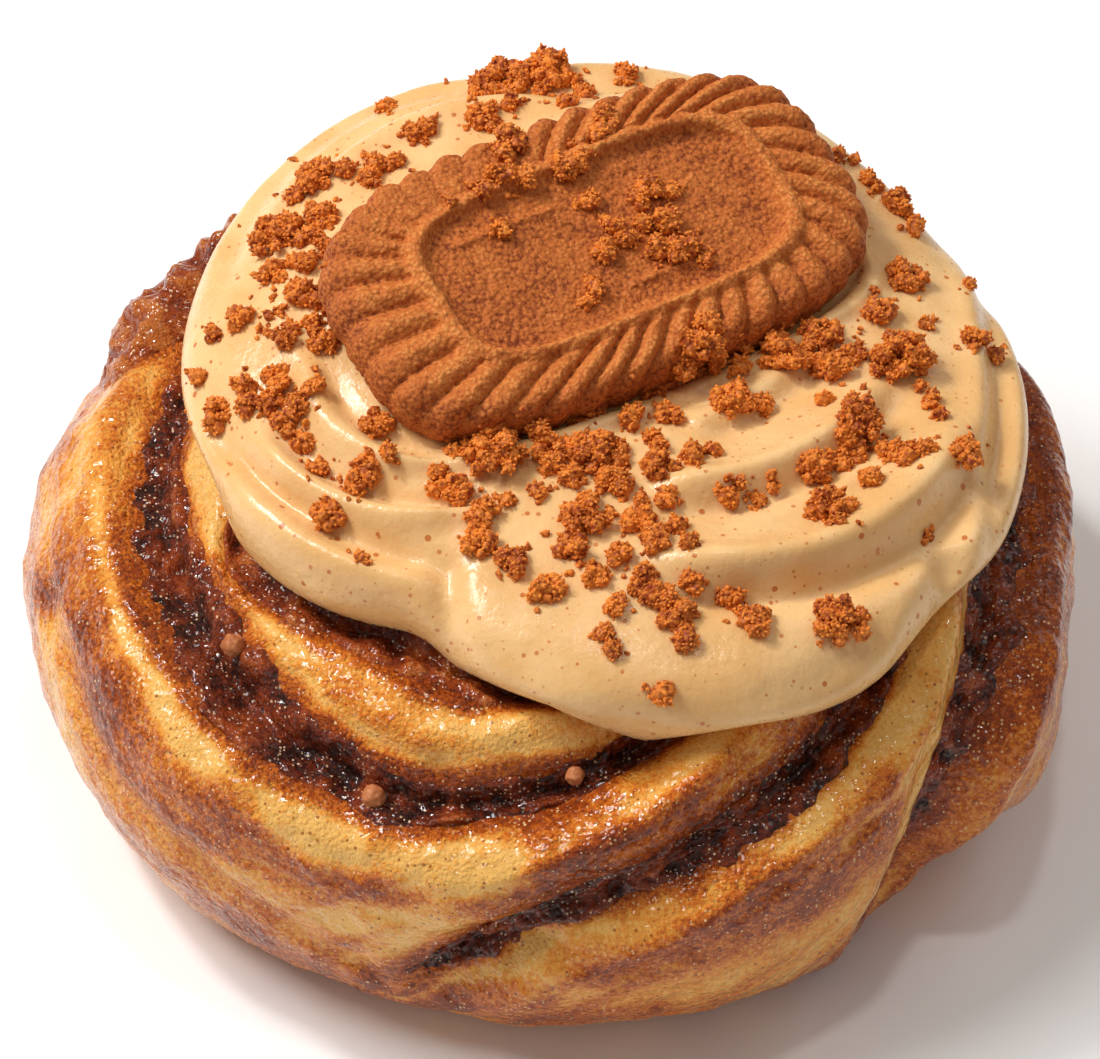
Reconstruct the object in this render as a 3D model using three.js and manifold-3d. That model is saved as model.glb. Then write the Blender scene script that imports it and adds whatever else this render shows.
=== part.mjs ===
// A large iced cinnamon roll: a knotted dough bun, the cinnamon filling in its seams,
// a thick swirl of icing with biscuit crumbs on it, and a caramelised biscuit pressed into the icing.
// Millimetres, +Z up. The origin is the middle of the flat base, and -Y is the front.
import * as THREE from "three";
import { mergeVertices } from "three/addons/utils/BufferGeometryUtils.js";
import Module from "manifold-3d";

const wasm = await Module();
wasm.setup();

// ---- Driving dimensions ----
const bun = {
  radius: 59, // at its widest
  baseRadius: 47, // of the flat bottom
  widestHeight: 20,
  topHeight: 47, // of the dough alone
  boxiness: 2.8, // 2 is an ellipse, more is squarer in the shoulder
  widestRise: 0.33, // share of the way up the section at which the bun is widest
  sectionLength: 78, // roughly, from the base's edge over the crust to the top's middle
  columns: 76,
  rows: 16, // between the base and the part that the icing covers
  coveredFrom: 0.82, // rise above which there is always icing
};
const gap = 0.45; // between touching solids
const finish = 0.24; // how far merging triangles may move a finished surface
const biscuit = {
  length: 63.4,
  width: 33,
  thickness: 7.5,
  squareness: 3.5, // exponent of its outline
  ribs: 38,
  ribHeight: 1.1,
  scallop: 0.4, // how far each rib stands out of the outline
  lean: -1.9, // how many ribs the slant passes on its way from the panel to the rim
  leanLeft: -0.3, // the same at the left end
  leftEnd: 0.53, // share of the way round at which the left end lies
  leftReach: [0.05, 0.17], // shares of the way round over which the lean changes
  panelLength: 42.2,
  panelWidth: 19.2,
  panelDepth: 1.0,
  beadHeight: 0.5, // of the raised bead round the panel
  centre: [5.9, 8.3, 63.2], // middle of its top face
  yaw: 34,
  noseDown: 5, // right end lower than the left
  tilt: 19, // front edge lower than the back
};
const icing = {
  thickness: 7.2,
  edgeWidth: 6.5, // of the rounded rim, along the crust
  rimTurn: 2.75, // radians through which the rim's section turns
  underReach: 2.2, // how far the underside runs in behind the edge, in edge widths
  underSink: 4, // how deep the underside lies in the crust, before the crust is cut out of it
  columns: 60,
  topRows: 16,
  rimSteps: 6,
};
// Where the icing's rim meets the crust: [angle, rise] pairs, with rise as in the seams below.
const icingEdge = [
  [-20, 0.61], [8, 0.6], [32, 0.61], [65, 0.66], [105, 0.69], [148, 0.71], [180, 0.74], [200, 0.755],
  [213, 0.745], [231, 0.755], [247, 0.77], [260, 0.735], [276, 0.685], [293, 0.645], [312, 0.62],
  [326, 0.635],
];
// Thicker and thinner places of the icing: where, how wide each way, and by how much.
const icingMounds = [
  { at: [-20, 11], spread: [20, 24], height: 6.8 },
  { at: [3, 32], spread: [28, 16], height: 6 },
  { at: [15, -1], spread: [17, 11], height: -2.6 },
  { at: [16, 27], spread: [14, 10], height: 4.4 }, // heaped behind the biscuit
];
// Folds of the icing. Each is a ridge along a bent arc about the middle of the icing, given by its angles,
// its radius at the start, half way and at the end, and the side of its valley: 1 inside and -1 outside.
const icingCentre = [5.9, -1.2];
const icingFolds = [
  { angles: [36, -42], radii: [44.8, 38.4, 44.8], width: 1.7, height: 1.7, valley: -1 },
  { angles: [32, -38], radii: [46, 41.6, 45.6], width: 1.9, height: 1.3, valley: 1 },
  { angles: [-84, -4], radii: [27.5, 33.2, 36.6], width: 2.5, height: 2.7, valley: -1 },
  { angles: [-78, 0], radii: [19, 22.6, 28.5], width: 2.2, height: 1.9, valley: -1 },
  { angles: [-50, 6], radii: [12, 14.5, 20], width: 2.2, height: 1.1, valley: -1 },
  { angles: [182, 244], radii: [45.8, 40.6, 34.4], width: 2.1, height: 1.8, valley: 1 },
  { angles: [194, 240], radii: [38.2, 34.2, 25.5], width: 1.8, height: 1.6, valley: 1 },
  { angles: [188, 224], radii: [32, 30.4, 25], width: 1.7, height: 1.2, valley: 1 },
  { angles: [150, 96], radii: [36.5, 35.2, 31.5], width: 2.2, height: 1.4, valley: -1 },
  { angles: [170, 106], radii: [42, 45.5, 40.5], width: 1.8, height: 0.9, valley: 1 },
  { angles: [-74, -46], radii: [46.5, 45.6, 43.6], width: 2, height: 0.9, valley: 1 },
  { angles: [110, 30], radii: [38, 41, 40], width: 3.2, height: 1.5, valley: 1 },
  { angles: [100, 20], radii: [28, 31, 30], width: 3, height: 1.2, valley: -1 },
];
const valleyDepth = 0.8; // share of a fold's height
const valleyOffset = 1.3; // from the ridge, in widths
const valleySharpness = 1.4;
// Short creases that run down to the rim.
const icingCreases = [
  { from: [-11, -27], to: [-10.5, -40], width: 1.7, depth: 1.8 },
  { from: [39.4, -21.5], to: [41.4, -29.5], width: 1.9, depth: 2.4 },
];
// Seams between the strands of dough. Each follows a path of [angle, rise, half width of the filling] over
// the crust, where rise is the share of the way up the section, 0 at the base and 1 at the top centre.
const seams = [
  // starts low at the back, runs round the left shoulder and dives under the icing at the front
  {
    path: [
      [38, 0.14, 2], [56, 0.42, 3], [86, 0.6, 3.2], [125, 0.68, 3], [171, 0.69, 2.3], [195, 0.67, 2.9],
      [213, 0.65, 3.8], [238, 0.59, 3.8], [254, 0.57, 3], [275, 0.64, 2.2], [300, 0.78, 2], [315, 1, 2],
    ],
    width: 9,
    depth: 5.5,
    lip: 0.6,
  },
  // inner seam that shows along the icing's front left rim
  {
    path: [
      [196, 0.8, 1.6], [210, 0.74, 2.2], [238, 0.77, 2.8], [268, 0.75, 2.4], [296, 0.8, 2], [315, 1, 2],
    ],
    width: 6,
    depth: 3.6,
    lip: 0.2,
  },
  // rises across the front
  {
    path: [
      [252, 0.17, 0.9], [264, 0.33, 1.8], [281, 0.45, 2.9], [302, 0.56, 3.4], [322, 0.66, 3], [340, 0.8, 2.4],
      [350, 1, 2],
    ],
    width: 8.5,
    depth: 4.8,
    lip: 1,
  },
  // rises on the right and runs round behind
  {
    path: [
      [306, 0.06, 0.6], [311, 0.18, 0.8], [316, 0.33, 1.2], [324, 0.47, 2.2], [341, 0.57, 3.3],
      [365, 0.58, 3.5], [400, 0.65, 3.2], [430, 0.8, 2.6], [440, 1, 2],
    ],
    width: 8.5,
    depth: 5,
    lip: 1.8,
  },
  // back left, where the filling has run over the shoulder
  {
    path: [[165, 0.46, 3.4], [160, 0.53, 4.2], [152, 0.58, 4.6], [142, 0.615, 4], [126, 0.66, 3]],
    width: 7,
    depth: 2.4,
    overrun: 5.6,
    lip: 0,
  },
];
// Places where the bun is fuller or slacker than round: angle, width in degrees, rise, width in rise, and mm.
const swells = [
  { angle: 213, width: 20, rise: 0.35, height: 0.3, by: 1.1 },
  { angle: 250, width: 18, rise: 0.3, height: 0.3, by: -1.1 },
  { angle: 288, width: 12, rise: 0.3, height: 0.3, by: 0.7 },
  { angle: 313, width: 7, rise: 0.22, height: 0.2, by: -2.2 },
  { angle: 323, width: 7, rise: 0.12, height: 0.13, by: -4.4 },
  { angle: 331, width: 9, rise: 0.33, height: 0.2, by: 2.8 },
  { angle: 40, width: 24, rise: 0.5, height: 0.3, by: -2.4 },
  { angle: 149, width: 22, rise: 0.5, height: 0.3, by: -2.7 },
  { angle: 180, width: 12, rise: 0.35, height: 0.3, by: 0.6 },
];
const seamSection = { above: 5, bottom: 14, bottomHalf: 0.8 };
const seamRingSpacing = 11; // mm between the sections of a seam's filling
const seamFade = 12; // mm over which a seam's outer end fades in
const fillRaise = 0.45; // of the filling over the dough beside it
const fillLumps = 0.4;
// Heaps of biscuit crumbs on the icing: middle in plan, how far the clumps lie from it, number and radii.
const icingHeaps = [
  { at: [-2, 40], spread: 3, count: 2, radii: [1.6, 2.4] },
  { at: [-7, 33], spread: 3, count: 2, radii: [1.3, 2.4] },
  { at: [-24, 20], spread: 3, count: 2, radii: [1.5, 2.1] },
  { at: [-28, 12], spread: 3, count: 3, radii: [1.4, 2.5] },
  { at: [-28, 1], spread: 4, count: 2, radii: [1.3, 1.7] },
  { at: [-31, -8], spread: 4, count: 3, radii: [1.4, 1.8] },
  { at: [-36, -10], spread: 1, count: 1, radii: [1.5, 1.7] },
  { at: [-20, -17], spread: 3, count: 2, radii: [1.3, 1.7] },
  { at: [-9, -25], spread: 3, count: 2, radii: [1.5, 1.8] },
  { at: [-5, -18], spread: 1.5, count: 2, radii: [2.1, 2.8] },
  { at: [3, -14], spread: 4, count: 4, radii: [1.5, 2.1] },
  { at: [12, -17], spread: 2, count: 2, radii: [1.5, 1.8] },
  { at: [5, -24], spread: 3, count: 3, radii: [1.5, 2.2] },
  { at: [0, -34], spread: 1, count: 1, radii: [1.5, 1.7] },
  { at: [11, -36], spread: 3, count: 2, radii: [1.4, 1.8] },
  { at: [21, -37], spread: 1, count: 1, radii: [1.6, 1.8] },
  { at: [30, -36], spread: 1, count: 1, radii: [2.2, 2.5] },
  { at: [29, -24], spread: 1, count: 1, radii: [2.1, 2.3] },
  { at: [31, -14], spread: 3, count: 2, radii: [1.5, 2.4] },
  { at: [19, -6], spread: 1, count: 1, radii: [1.8, 2] },
  { at: [28, 0], spread: 3, count: 3, radii: [2, 2.8] },
  { at: [38, 1], spread: 1, count: 1, radii: [3, 3.3] },
  { at: [38, 11], spread: 3, count: 2, radii: [1.6, 2.1] },
];
// The same on the biscuit, measured from the middle of its top face.
const biscuitHeaps = [
  { at: [-5, 12], spread: 3, count: 3, radii: [1.3, 1.6] },
  { at: [5, 1], spread: 4, count: 4, radii: [1.3, 1.5] },
  { at: [2, -17], spread: 2, count: 2, radii: [1.5, 1.9] },
];
const clumpSink = 0.3; // share of a clump's radius that its middle stands above the surface
const crumbSeed = 11;
const colours = { dough: 0xc98d45, filling: 0x4a2012, icing: 0xe2bd86, biscuit: 0xa85f2c };

// ---- Small helpers ----
const radians = THREE.MathUtils.degToRad;
const { smoothstep, clamp } = THREE.MathUtils;

function seededRandom(seed) {
  let state = seed;
  return () => {
    state = (state * 1664525 + 1013904223) % 4294967296;
    return state / 4294967296;
  };
}

// A closed geometry from rings of points that all have the same length, with a pole at each end.
function closedRings(firstPole, rings, lastPole) {
  const count = rings[0].length;
  const points = [firstPole, ...rings.flat(), lastPole];
  const last = points.length - 1;
  const indices = [];
  const at = (ring, i) => 1 + ring * count + (i % count);
  for (let i = 0; i < count; i++) {
    indices.push(0, at(0, i + 1), at(0, i));
    for (let ring = 0; ring + 1 < rings.length; ring++) {
      indices.push(at(ring, i), at(ring, i + 1), at(ring + 1, i + 1));
      indices.push(at(ring, i), at(ring + 1, i + 1), at(ring + 1, i));
    }
    indices.push(last, at(rings.length - 1, i), at(rings.length - 1, i + 1));
  }
  return new THREE.BufferGeometry().setFromPoints(points).setIndex(indices);
}

// A solid from a closed geometry, whichever way round its triangles are wound.
function toSolid(geometry) {
  const bare = new THREE.BufferGeometry();
  bare.setAttribute("position", geometry.getAttribute("position"));
  bare.setIndex(geometry.index);
  const merged = mergeVertices(bare, 1e-3);
  const vertProperties = new Float32Array(merged.attributes.position.array);
  const triVerts = new Uint32Array(merged.index.array);
  const solid = new wasm.Manifold(new wasm.Mesh({ numProp: 3, vertProperties, triVerts }));
  if (solid.volume() > 0) return solid;
  return new wasm.Manifold(new wasm.Mesh({ numProp: 3, vertProperties, triVerts: triVerts.reverse() }));
}

// The geometry of a solid, without the specks that a cut may leave beside the main body.
function toGeometry(solid) {
  const bodies = solid.simplify(finish).decompose();
  const mesh = bodies.sort((a, b) => b.volume() - a.volume())[0].getMesh();
  const geometry = new THREE.BufferGeometry();
  geometry.setAttribute("position", new THREE.BufferAttribute(mesh.vertProperties, 3));
  geometry.setIndex(new THREE.BufferAttribute(mesh.triVerts, 1));
  return geometry;
}

// ---- The smooth crust that every part of the roll is laid out on ----
function crustSection(rise) {
  const t = clamp(rise / bun.widestRise, 0, 1);
  if (t < 1) {
    const bulge = Math.sqrt(1 - (1 - t) ** 2);
    return [bun.baseRadius + (bun.radius - bun.baseRadius) * bulge, bun.widestHeight * t];
  }
  const a = (clamp((rise - bun.widestRise) / (1 - bun.widestRise), 0, 1) * Math.PI) / 2;
  const power = 2 / bun.boxiness;
  return [
    bun.radius * Math.max(Math.cos(a), 0) ** power,
    bun.widestHeight + (bun.topHeight - bun.widestHeight) * Math.sin(a) ** power,
  ];
}

function crustPoint(angle, rise) {
  const [r, z] = crustSection(rise);
  return new THREE.Vector3(r * Math.cos(radians(angle)), r * Math.sin(radians(angle)), z);
}

function crustNormal(angle, rise) {
  const step = 0.004;
  const [r0, z0] = crustSection(Math.max(rise - step, 0));
  const [r1, z1] = crustSection(Math.min(rise + step, 1));
  const out = new THREE.Vector2(z1 - z0, r0 - r1).normalize();
  return new THREE.Vector3(out.x * Math.cos(radians(angle)), out.x * Math.sin(radians(angle)), out.y);
}

// ---- Seams ----
const seamSteps = 64;
for (const seam of seams) {
  const stops = seam.path.map(([angle, rise, half]) => new THREE.Vector3(angle, rise * 100, half));
  const plan = new THREE.CatmullRomCurve3(stops);
  seam.frames = plan.getSpacedPoints(seamSteps).map((p) => {
    const rise = clamp(p.y / 100, 0, 1);
    return { point: crustPoint(p.x, rise), normal: crustNormal(p.x, rise), half: p.z };
  });
  seam.frames.forEach((frame, i) => {
    const before = seam.frames[Math.max(i - 1, 0)].point;
    const after = seam.frames[Math.min(i + 1, seamSteps)].point;
    frame.along = i === 0 ? 0 : seam.frames[i - 1].along + frame.point.distanceTo(before);
    frame.side = after.clone().sub(before).cross(frame.normal).normalize();
  });
  seam.length = seam.frames[seamSteps].along;
}

// The nearest place of a seam: its distance, the distance from the seam's start, and on which side it lies.
function nearestPlace(seam, point) {
  let best = { distance: Infinity };
  for (const frame of seam.frames) {
    const distance = frame.point.distanceTo(point);
    if (distance < best.distance) best = { distance, along: frame.along, frame };
  }
  best.side = Math.sign(point.clone().sub(best.frame.point).dot(best.frame.side));
  return best;
}

function seamRelief(point) {
  let relief = 0;
  let lip = 0;
  for (const seam of seams) {
    const near = nearestPlace(seam, point);
    const fade = smoothstep(near.along, 0, seamFade);
    const t = Math.min(near.distance / seam.width, 1);
    relief = Math.min(relief, -seam.depth * fade * (1 - t) ** 1.6);
    if (near.side > 0) lip = Math.max(lip, seam.lip * fade * Math.exp(-(((near.distance - 6) / 3) ** 2)));
  }
  return relief + lip;
}

// Height of the filling over the smooth crust: a little above the dough that borders it.
function fillHeight(point) {
  const lumps = Math.sin(point.x * 1.3 + point.z) * Math.sin(point.y * 1.1 - point.z * 0.7);
  let raise = fillRaise + fillLumps * lumps;
  for (const seam of seams) {
    if (!seam.overrun) continue;
    const near = nearestPlace(seam, point);
    const end = smoothstep(near.along, seam.length - seamFade, seam.length);
    const fade = smoothstep(near.along, 2, seamFade) * (1 - end);
    raise += seam.overrun * fade * Math.exp(-((near.distance / near.frame.half) ** 2));
  }
  return seamRelief(point) + raise;
}

// The difference in degrees between two angles, from -180 to 180.
function turnBetween(angle, other) {
  return THREE.MathUtils.euclideanModulo(angle - other + 180, 360) - 180;
}

// How far the bun's surface stands off the smooth crust, apart from the seams.
function unevenness(angle, rise) {
  let by = 0;
  for (const swell of swells) {
    const across = turnBetween(angle, swell.angle) / swell.width;
    by += swell.by * Math.exp(-(across ** 2) - ((rise - swell.rise) / swell.height) ** 2);
  }
  return by;
}

// A closed body whose surface stands off the smooth crust by offset(point, angle, rise).
function crustShell(offset) {
  const { columns, rows } = bun;
  const rings = [];
  for (let row = 0; row < rows; row++) {
    const rise = row === rows - 1 ? (1 + bun.coveredFrom) / 2 : (row / (rows - 2)) * bun.coveredFrom;
    const ring = [];
    for (let column = 0; column < columns; column++) {
      const angle = (column / columns) * 360;
      const point = crustPoint(angle, rise);
      point.addScaledVector(crustNormal(angle, rise), offset(point, angle, rise));
      point.z = row === 0 ? 0 : Math.max(point.z, 0.25 * row);
      ring.push(point);
    }
    rings.push(ring);
  }
  const top = crustPoint(0, 1);
  top.z += offset(top.clone(), 0, 1);
  return closedRings(new THREE.Vector3(0, 0, 0), rings, top);
}

// ---- Filling: a wedge down each seam, cut off at the filling's own height ----
function seamWedge(seam, grow) {
  const s = seamSection;
  const count = Math.round(seam.length / seamRingSpacing);
  const rings = [];
  for (let i = 0; i <= count; i++) {
    const frame = seam.frames[Math.round((i / count) * seamSteps)];
    const foot = s.bottomHalf + grow;
    const top = foot + ((frame.half - s.bottomHalf) * (s.bottom + s.above)) / s.bottom;
    const outline = [[-top, -s.above], [top, -s.above], [foot, s.bottom + grow], [-foot, s.bottom + grow]];
    rings.push(
      outline.map(([across, down]) =>
        frame.point.clone().addScaledVector(frame.side, across).addScaledVector(frame.normal, -down),
      ),
    );
  }
  const middle = (ring) => ring.reduce((sum, p) => sum.add(p), new THREE.Vector3()).divideScalar(ring.length);
  return closedRings(middle(rings[0]), rings, middle(rings[count]));
}

function allWedges(grow) {
  return seams.map((seam) => toSolid(seamWedge(seam, grow))).reduce((sum, wedge) => sum.add(wedge));
}

// The crust up to a little over the dough's own height, which is where the filling ends.
function filledCrust(grow) {
  return toSolid(crustShell((point, angle, rise) => fillHeight(point) + unevenness(angle, rise) + grow));
}

function fillingSolid() {
  return allWedges(0).intersect(filledCrust(0));
}

function doughSolid() {
  const crust = toSolid(crustShell((point, angle, rise) => seamRelief(point) + unevenness(angle, rise)));
  return crust.subtract(allWedges(gap));
}

// ---- Icing ----
// The edge's curve once round and a little past both ends, so that it closes smoothly.
const icingEdgeLine = new THREE.CatmullRomCurve3(
  [-360, 0, 360]
    .flatMap((turn) => icingEdge.map(([angle, rise]) => new THREE.Vector3(angle + turn, rise * 100, 0)))
    .filter((point) => point.x > -100 && point.x < 420),
).getPoints(600);

function icingEdgeRise(angle) {
  const i = icingEdgeLine.findIndex((point) => point.x >= angle);
  const [before, after] = [icingEdgeLine[i - 1], icingEdgeLine[i]];
  return (before.y + ((after.y - before.y) * (angle - before.x)) / (after.x - before.x)) / 100;
}

function icingThickness(x, y) {
  let thickness = icing.thickness;
  for (const { at, spread, height } of icingMounds)
    thickness += height * Math.exp(-(((x - at[0]) / spread[0]) ** 2) - ((y - at[1]) / spread[1]) ** 2);
  return thickness;
}

function icingFoldHeight(x, y) {
  const dx = x - icingCentre[0];
  const dy = y - icingCentre[1];
  const radius = Math.hypot(dx, dy);
  const angle = THREE.MathUtils.radToDeg(Math.atan2(dy, dx));
  let height = 0;
  for (const fold of icingFolds) {
    const [from, to] = fold.angles;
    const middle = (from + to) / 2;
    const share = (turnBetween(angle, middle) + middle - from) / (to - from);
    const t = clamp(share, -0.1, 1.1);
    const [first, halfway, last] = fold.radii;
    const foldRadius = first * (1 - t) * (1 - 2 * t) + halfway * 4 * t * (1 - t) + last * t * (2 * t - 1);
    const across = (radius - foldRadius) / fold.width;
    const fade = smoothstep(share, -0.05, 0.22) * (1 - smoothstep(share, 0.78, 1.05));
    const valley = Math.exp(-valleySharpness * (across + valleyOffset * fold.valley) ** 2);
    height += fold.height * fade * (Math.exp(-(across ** 2)) - valleyDepth * valley);
  }
  for (const { from, to, width, depth } of icingCreases) {
    const start = new THREE.Vector2(...from);
    const along = new THREE.Vector2(...to).sub(start);
    const away = new THREE.Vector2(x, y).sub(start);
    const t = away.dot(along) / along.lengthSq();
    const across = away.sub(along.multiplyScalar(t)).length() / width;
    height -= depth * smoothstep(t, 0, 0.35) * (1 - smoothstep(t, 1, 1.3)) * Math.exp(-(across ** 2));
  }
  return height;
}

function icingTop(angle, rise) {
  const point = crustPoint(angle, rise);
  const height = icingThickness(point.x, point.y) + icingFoldHeight(point.x, point.y);
  return point.addScaledVector(crustNormal(angle, rise), height + unevenness(angle, rise));
}

// Each spoke runs from the middle over the top, round the rim and back in underneath.
function icingGeometry() {
  const { columns, topRows, rimSteps } = icing;
  const riseForWidth = icing.edgeWidth / bun.sectionLength;
  const spokes = [];
  for (let column = 0; column < columns; column++) {
    const angle = (column / columns) * 360;
    const edge = icingEdgeRise(angle);
    const spoke = [];
    for (let row = 1; row <= topRows; row++)
      spoke.push(icingTop(angle, 1 - (row / topRows) * (1 - edge - riseForWidth)));
    for (let step = 1; step <= rimSteps; step++) {
      const turn = (step / rimSteps) * icing.rimTurn;
      const rise = edge + riseForWidth * (1 - Math.sin(turn));
      const point = crustPoint(angle, rise);
      const thickness = icingThickness(point.x, point.y) + icingFoldHeight(point.x, point.y);
      const drape = seamRelief(point) * smoothstep(turn, 0.4, 2.2);
      const height = (thickness / 2) * (1 + Math.cos(turn)) + unevenness(angle, rise) + drape;
      spoke.push(point.addScaledVector(crustNormal(angle, rise), height));
    }
    const inner = edge + icing.underReach * riseForWidth;
    spoke.push(crustPoint(angle, inner).addScaledVector(crustNormal(angle, inner), -icing.underSink));
    spokes.push(spoke);
  }
  const rings = spokes[0].map((_, row) => spokes.map((spoke) => spoke[row]));
  return closedRings(icingTop(0, 1), rings, new THREE.Vector3(0, 0, bun.topHeight - icing.underSink));
}

// ---- Biscuit, in its own frame: the top face's middle at the origin, length along X ----
function biscuitOutline(angle, length, width, squareness) {
  const c = Math.cos(angle);
  const s = Math.sin(angle);
  const power = 2 / squareness;
  return [
    (length / 2) * Math.sign(c) * Math.abs(c) ** power,
    (width / 2) * Math.sign(s) * Math.abs(s) ** power,
  ];
}

// The ribs slant all round the rim but at the left end, which is a little over half way round.
function ribLean(around) {
  const leftward = 1 - smoothstep(Math.abs(around - biscuit.leftEnd), ...biscuit.leftReach);
  return biscuit.lean + (biscuit.leanLeft - biscuit.lean) * leftward;
}

function biscuitGeometry() {
  const b = biscuit;
  const pointsPerRib = 3;
  const columns = b.ribs * pointsPerRib;
  // share of the way from the panel's edge to the rim, height of the surface, and strength of the ribs there
  const rings = [
    { share: -0.7, z: -b.panelDepth, rib: 0 },
    { share: -0.08, z: -b.panelDepth, rib: 0 },
    { share: 0.06, z: b.beadHeight, rib: 0 },
    { share: 0.24, z: 0, rib: 0.5 },
    { share: 0.5, z: 0, rib: 1 },
    { share: 0.8, z: -0.9, rib: 1 },
    { share: 0.98, z: -2.8, rib: 1 },
    { share: 1, z: -b.thickness + 2, rib: 0.8 },
    { share: 0.93, z: -b.thickness, rib: 0.2 },
  ];
  const made = rings.map(({ share, z, rib }) => {
    const ring = [];
    for (let i = 0; i < columns; i++) {
      const lean = ribLean(i / columns) * (1 - clamp(share, 0, 1));
      const angle = evenAngle(THREE.MathUtils.euclideanModulo(i / columns - lean / b.ribs, 1));
      const ribWave = Math.cos((i / pointsPerRib) * 2 * Math.PI);
      const outer = biscuitOutline(angle, b.length, b.width, b.squareness);
      const inner = biscuitOutline(angle, b.panelLength, b.panelWidth, b.squareness + 0.6);
      const x = inner[0] + (outer[0] - inner[0]) * share;
      const y = inner[1] + (outer[1] - inner[1]) * share;
      const away = new THREE.Vector3(x, y, 0).normalize();
      const stand = share > 0.9 ? rib * b.scallop * ribWave : 0;
      const lift = z > -b.thickness / 2 ? (rib * b.ribHeight * (ribWave - 0.6)) / 2 : 0;
      ring.push(new THREE.Vector3(x, y, z + lift).addScaledVector(away, stand));
    }
    return ring;
  });
  return closedRings(new THREE.Vector3(0, 0, -b.panelDepth), made, new THREE.Vector3(0, 0, -b.thickness));
}

// Angles of the outline's formula at which its points are evenly spaced.
const evenAngles = (() => {
  const fine = 2000;
  const lengths = [0];
  let last = biscuitOutline(0, biscuit.length, biscuit.width, biscuit.squareness);
  for (let i = 1; i <= fine; i++) {
    const next = biscuitOutline((i / fine) * 2 * Math.PI, biscuit.length, biscuit.width, biscuit.squareness);
    lengths.push(lengths[i - 1] + Math.hypot(next[0] - last[0], next[1] - last[1]));
    last = next;
  }
  return lengths.map((length) => length / lengths[fine]);
})();

function evenAngle(share) {
  const i = evenAngles.findIndex((value) => value >= share);
  if (i <= 0) return 0;
  const part = (share - evenAngles[i - 1]) / (evenAngles[i] - evenAngles[i - 1]);
  return ((i - 1 + part) / (evenAngles.length - 1)) * 2 * Math.PI;
}

const biscuitPlace = new THREE.Matrix4().compose(
  new THREE.Vector3(...biscuit.centre),
  new THREE.Quaternion().setFromEuler(
    new THREE.Euler(radians(biscuit.tilt), radians(biscuit.noseDown), radians(biscuit.yaw), "ZYX"),
  ),
  new THREE.Vector3(1, 1, 1),
);

function placedBiscuit() {
  return toSolid(biscuitGeometry().applyMatrix4(biscuitPlace));
}

// The room that the biscuit takes up in the icing, without its ribs.
function biscuitRoom() {
  const b = biscuit;
  const wide = 2 * (b.scallop + gap);
  const rings = [b.beadHeight + gap, -b.thickness - gap].map((z) => {
    const ring = [];
    for (let i = 0; i < 48; i++) {
      const [x, y] = biscuitOutline(evenAngle(i / 48), b.length + wide, b.width + wide, b.squareness);
      ring.push(new THREE.Vector3(x, y, z));
    }
    return ring;
  });
  const ends = [new THREE.Vector3(0, 0, rings[0][0].z), new THREE.Vector3(0, 0, rings[1][0].z)];
  return toSolid(closedRings(ends[0], rings, ends[1]).applyMatrix4(biscuitPlace));
}

// ---- Crumbs ----
function clumpSolid(centre, radius, random) {
  const ball = new THREE.IcosahedronGeometry(radius, 0);
  ball.deleteAttribute("normal");
  ball.deleteAttribute("uv");
  const geometry = mergeVertices(ball);
  const position = geometry.getAttribute("position");
  for (let i = 0; i < position.count; i++) {
    const stretch = 0.85 + 0.4 * random();
    position.setXYZ(i, position.getX(i) * stretch, position.getY(i) * stretch, position.getZ(i) * stretch);
  }
  geometry.rotateZ(random() * Math.PI).translate(centre.x, centre.y, centre.z);
  return toSolid(geometry);
}

// The clumps of all heaps, on the surface that surface(x, y) gives.
function heapSolids(heaps, surface, random) {
  const solids = [];
  for (const { at, spread, count, radii } of heaps) {
    for (let i = 0; i < count; i++) {
      const turn = (i / count + 0.3 * random()) * 2 * Math.PI;
      const away = spread * (0.4 + 0.6 * random());
      const radius = radii[0] + (radii[1] - radii[0]) * random();
      const centre = surface(at[0] + away * Math.cos(turn), at[1] + away * Math.sin(turn));
      centre.z += clumpSink * radius;
      solids.push(clumpSolid(centre, radius, random));
    }
  }
  return solids;
}

// The point of the icing's top that lies over this place in plan.
function icingSurface(x, y) {
  const angle = THREE.MathUtils.radToDeg(Math.atan2(y, x));
  let [low, high] = [0.5, 1];
  for (let i = 0; i < 20; i++) {
    const point = icingTop(angle, (low + high) / 2);
    if (Math.hypot(point.x, point.y) > Math.hypot(x, y)) low = (low + high) / 2;
    else high = (low + high) / 2;
  }
  return icingTop(angle, low);
}

function biscuitSurface(x, y) {
  return new THREE.Vector3(x, y, 0).applyMatrix4(biscuitPlace);
}

// ---- Solids ----
const random = seededRandom(crumbSeed);
const icingBody = heapSolids(icingHeaps, icingSurface, random)
  .reduce((sum, clump) => sum.add(clump), toSolid(icingGeometry()))
  .subtract(filledCrust(gap))
  .subtract(biscuitRoom());
const biscuitBody = heapSolids(biscuitHeaps, biscuitSurface, random)
  .reduce((sum, clump) => sum.add(clump), placedBiscuit());

function piece(name, solid, colour, roughness) {
  const material = new THREE.MeshStandardMaterial({ color: colour, roughness, metalness: 0 });
  const mesh = new THREE.Mesh(toGeometry(solid), material);
  mesh.name = name;
  return mesh;
}

const roll = new THREE.Group();
roll.add(piece("dough", doughSolid(), colours.dough, 0.55));
roll.add(piece("filling", fillingSolid(), colours.filling, 0.25));
roll.add(piece("icing", icingBody, colours.icing, 0.35));
roll.add(piece("biscuit", biscuitBody, colours.biscuit, 0.8));

export default roll;
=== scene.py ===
import math

import bmesh
import bpy
import numpy as np
from mathutils import Matrix, Vector
from mathutils.bvhtree import BVHTree


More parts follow.
